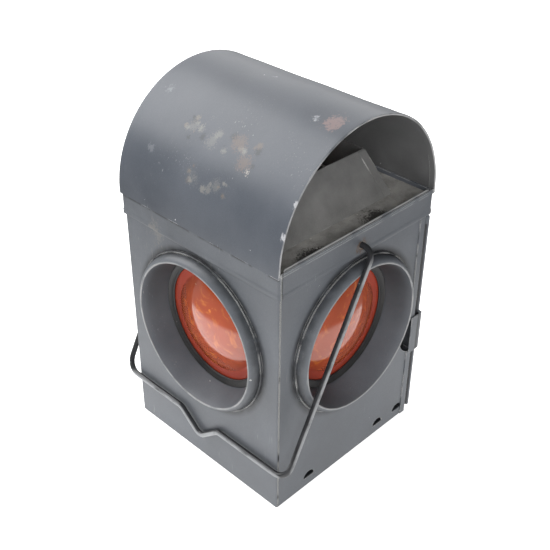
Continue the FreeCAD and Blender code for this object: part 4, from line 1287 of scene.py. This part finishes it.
# %% Dress the CAD nodes
dressed_count = 0
for entry in frame["record"]["subparts"]:
    node = frame["nodes"][entry["node"]]
    if not node.hide_render:
        node.data.materials.clear()
        node.data.materials.append(deck_soot if entry["node"] == "top_deck" else FINISH[entry["material_slot"]])
        dressed_count += 1
print("CAD nodes dressed:", dressed_count)

# %% [markdown]
# ## Floor and light
#
# The lantern stands on a pale floor in even studio light: a bright surround and three large soft
# panels.  One overhead towards the back draws the band of light along the hood's crown, a weak one
# behind on the right lifts the far edges, and one beside the camera fills the two near walls.  The
# glasses would mirror that last panel and the whole bright floor, so mirrored rays miss the panel
# and find the floor dark further out.  The camera itself sees floor and surround evenly pale.

# %% Floor
FLOOR_HALF = 6.0
FLOOR_DROP = 0.0006
DARK_FROM, DARK_FULL = 0.31, 0.37


def make_floor():
    corners = [(x * FLOOR_HALF, y * FLOOR_HALF, 0) for x, y in ((-1, -1), (1, -1), (1, 1), (-1, 1))]
    mesh = bpy.data.meshes.new("studio_floor")
    mesh.from_pydata(corners, [], [(0, 1, 2, 3)])
    material, tree, shader, place = new_material("floor_paper")
    mirrored = put(tree, "ShaderNodeLightPath").outputs["Is Glossy Ray"]
    beyond = times(mirrored, spread(vector("LENGTH", place), DARK_FROM, DARK_FULL))
    paper = blend(beyond, blend(clouds_at(place, 3.0), 0.86, 0.9), 0.25)
    glow = minus(1.0, beyond)
    feed(shader, Base_Color=paper,
         Emission_Color=put(tree, "ShaderNodeCombineColor", {0: glow, 1: glow, 2: glow}).outputs[0])
    shader["Roughness"].default_value = 0.9
    shader["Emission Strength"].default_value = 0.75
    mesh.materials.append(material)
    ground = stand("studio_floor", mesh)
    ground.location.z = -FLOOR_DROP
    return ground


floor = make_floor()

# %% Light
SKY_LOW, SKY_TOP, SEEN_SKY = 0.5, 2.1, 20.0


def soft_panel(name, place, aim_height, size, power, mirrored=True):
    """A round panel of light, turned to look at the lantern's axis."""
    data = bpy.data.lights.new(name, "AREA")
    data.shape = "DISK"
    data.size = size
    data.energy = power
    panel = stand(name, data)
    panel.location = place
    panel.visible_glossy = mirrored
    panel.rotation_euler = (Vector((0, 0, aim_height)) - Vector(place)).to_track_quat("-Z", "Y").to_euler()


world = bpy.data.worlds.new("studio")
world.use_nodes = True
sky = world.node_tree
heading = parts_of(put(sky, "ShaderNodeTexCoord").outputs["Generated"])["Z"]
seen = put(sky, "ShaderNodeLightPath").outputs["Is Camera Ray"]
lit = spread(heading, 0.0, 0.85, SKY_LOW, SKY_TOP)
strength = put(sky, "ShaderNodeMix", {0: seen, 2: lit, 3: SEEN_SKY}, data_type="FLOAT").outputs[0]
sky.links.new(strength, sky.nodes["Background"].inputs["Strength"])
bpy.context.scene.world = world
soft_panel("overhead_back", (-0.5, 1.6, 1.7), 0.25, 2.6, 84.0)
soft_panel("behind_right", (1.3, 1.0, 1.1), 0.25, 1.8, 16.0)
soft_panel("camera_side", (-1.65, -1.75, 1.2), 0.18, 1.8, 58.0, mirrored=False)
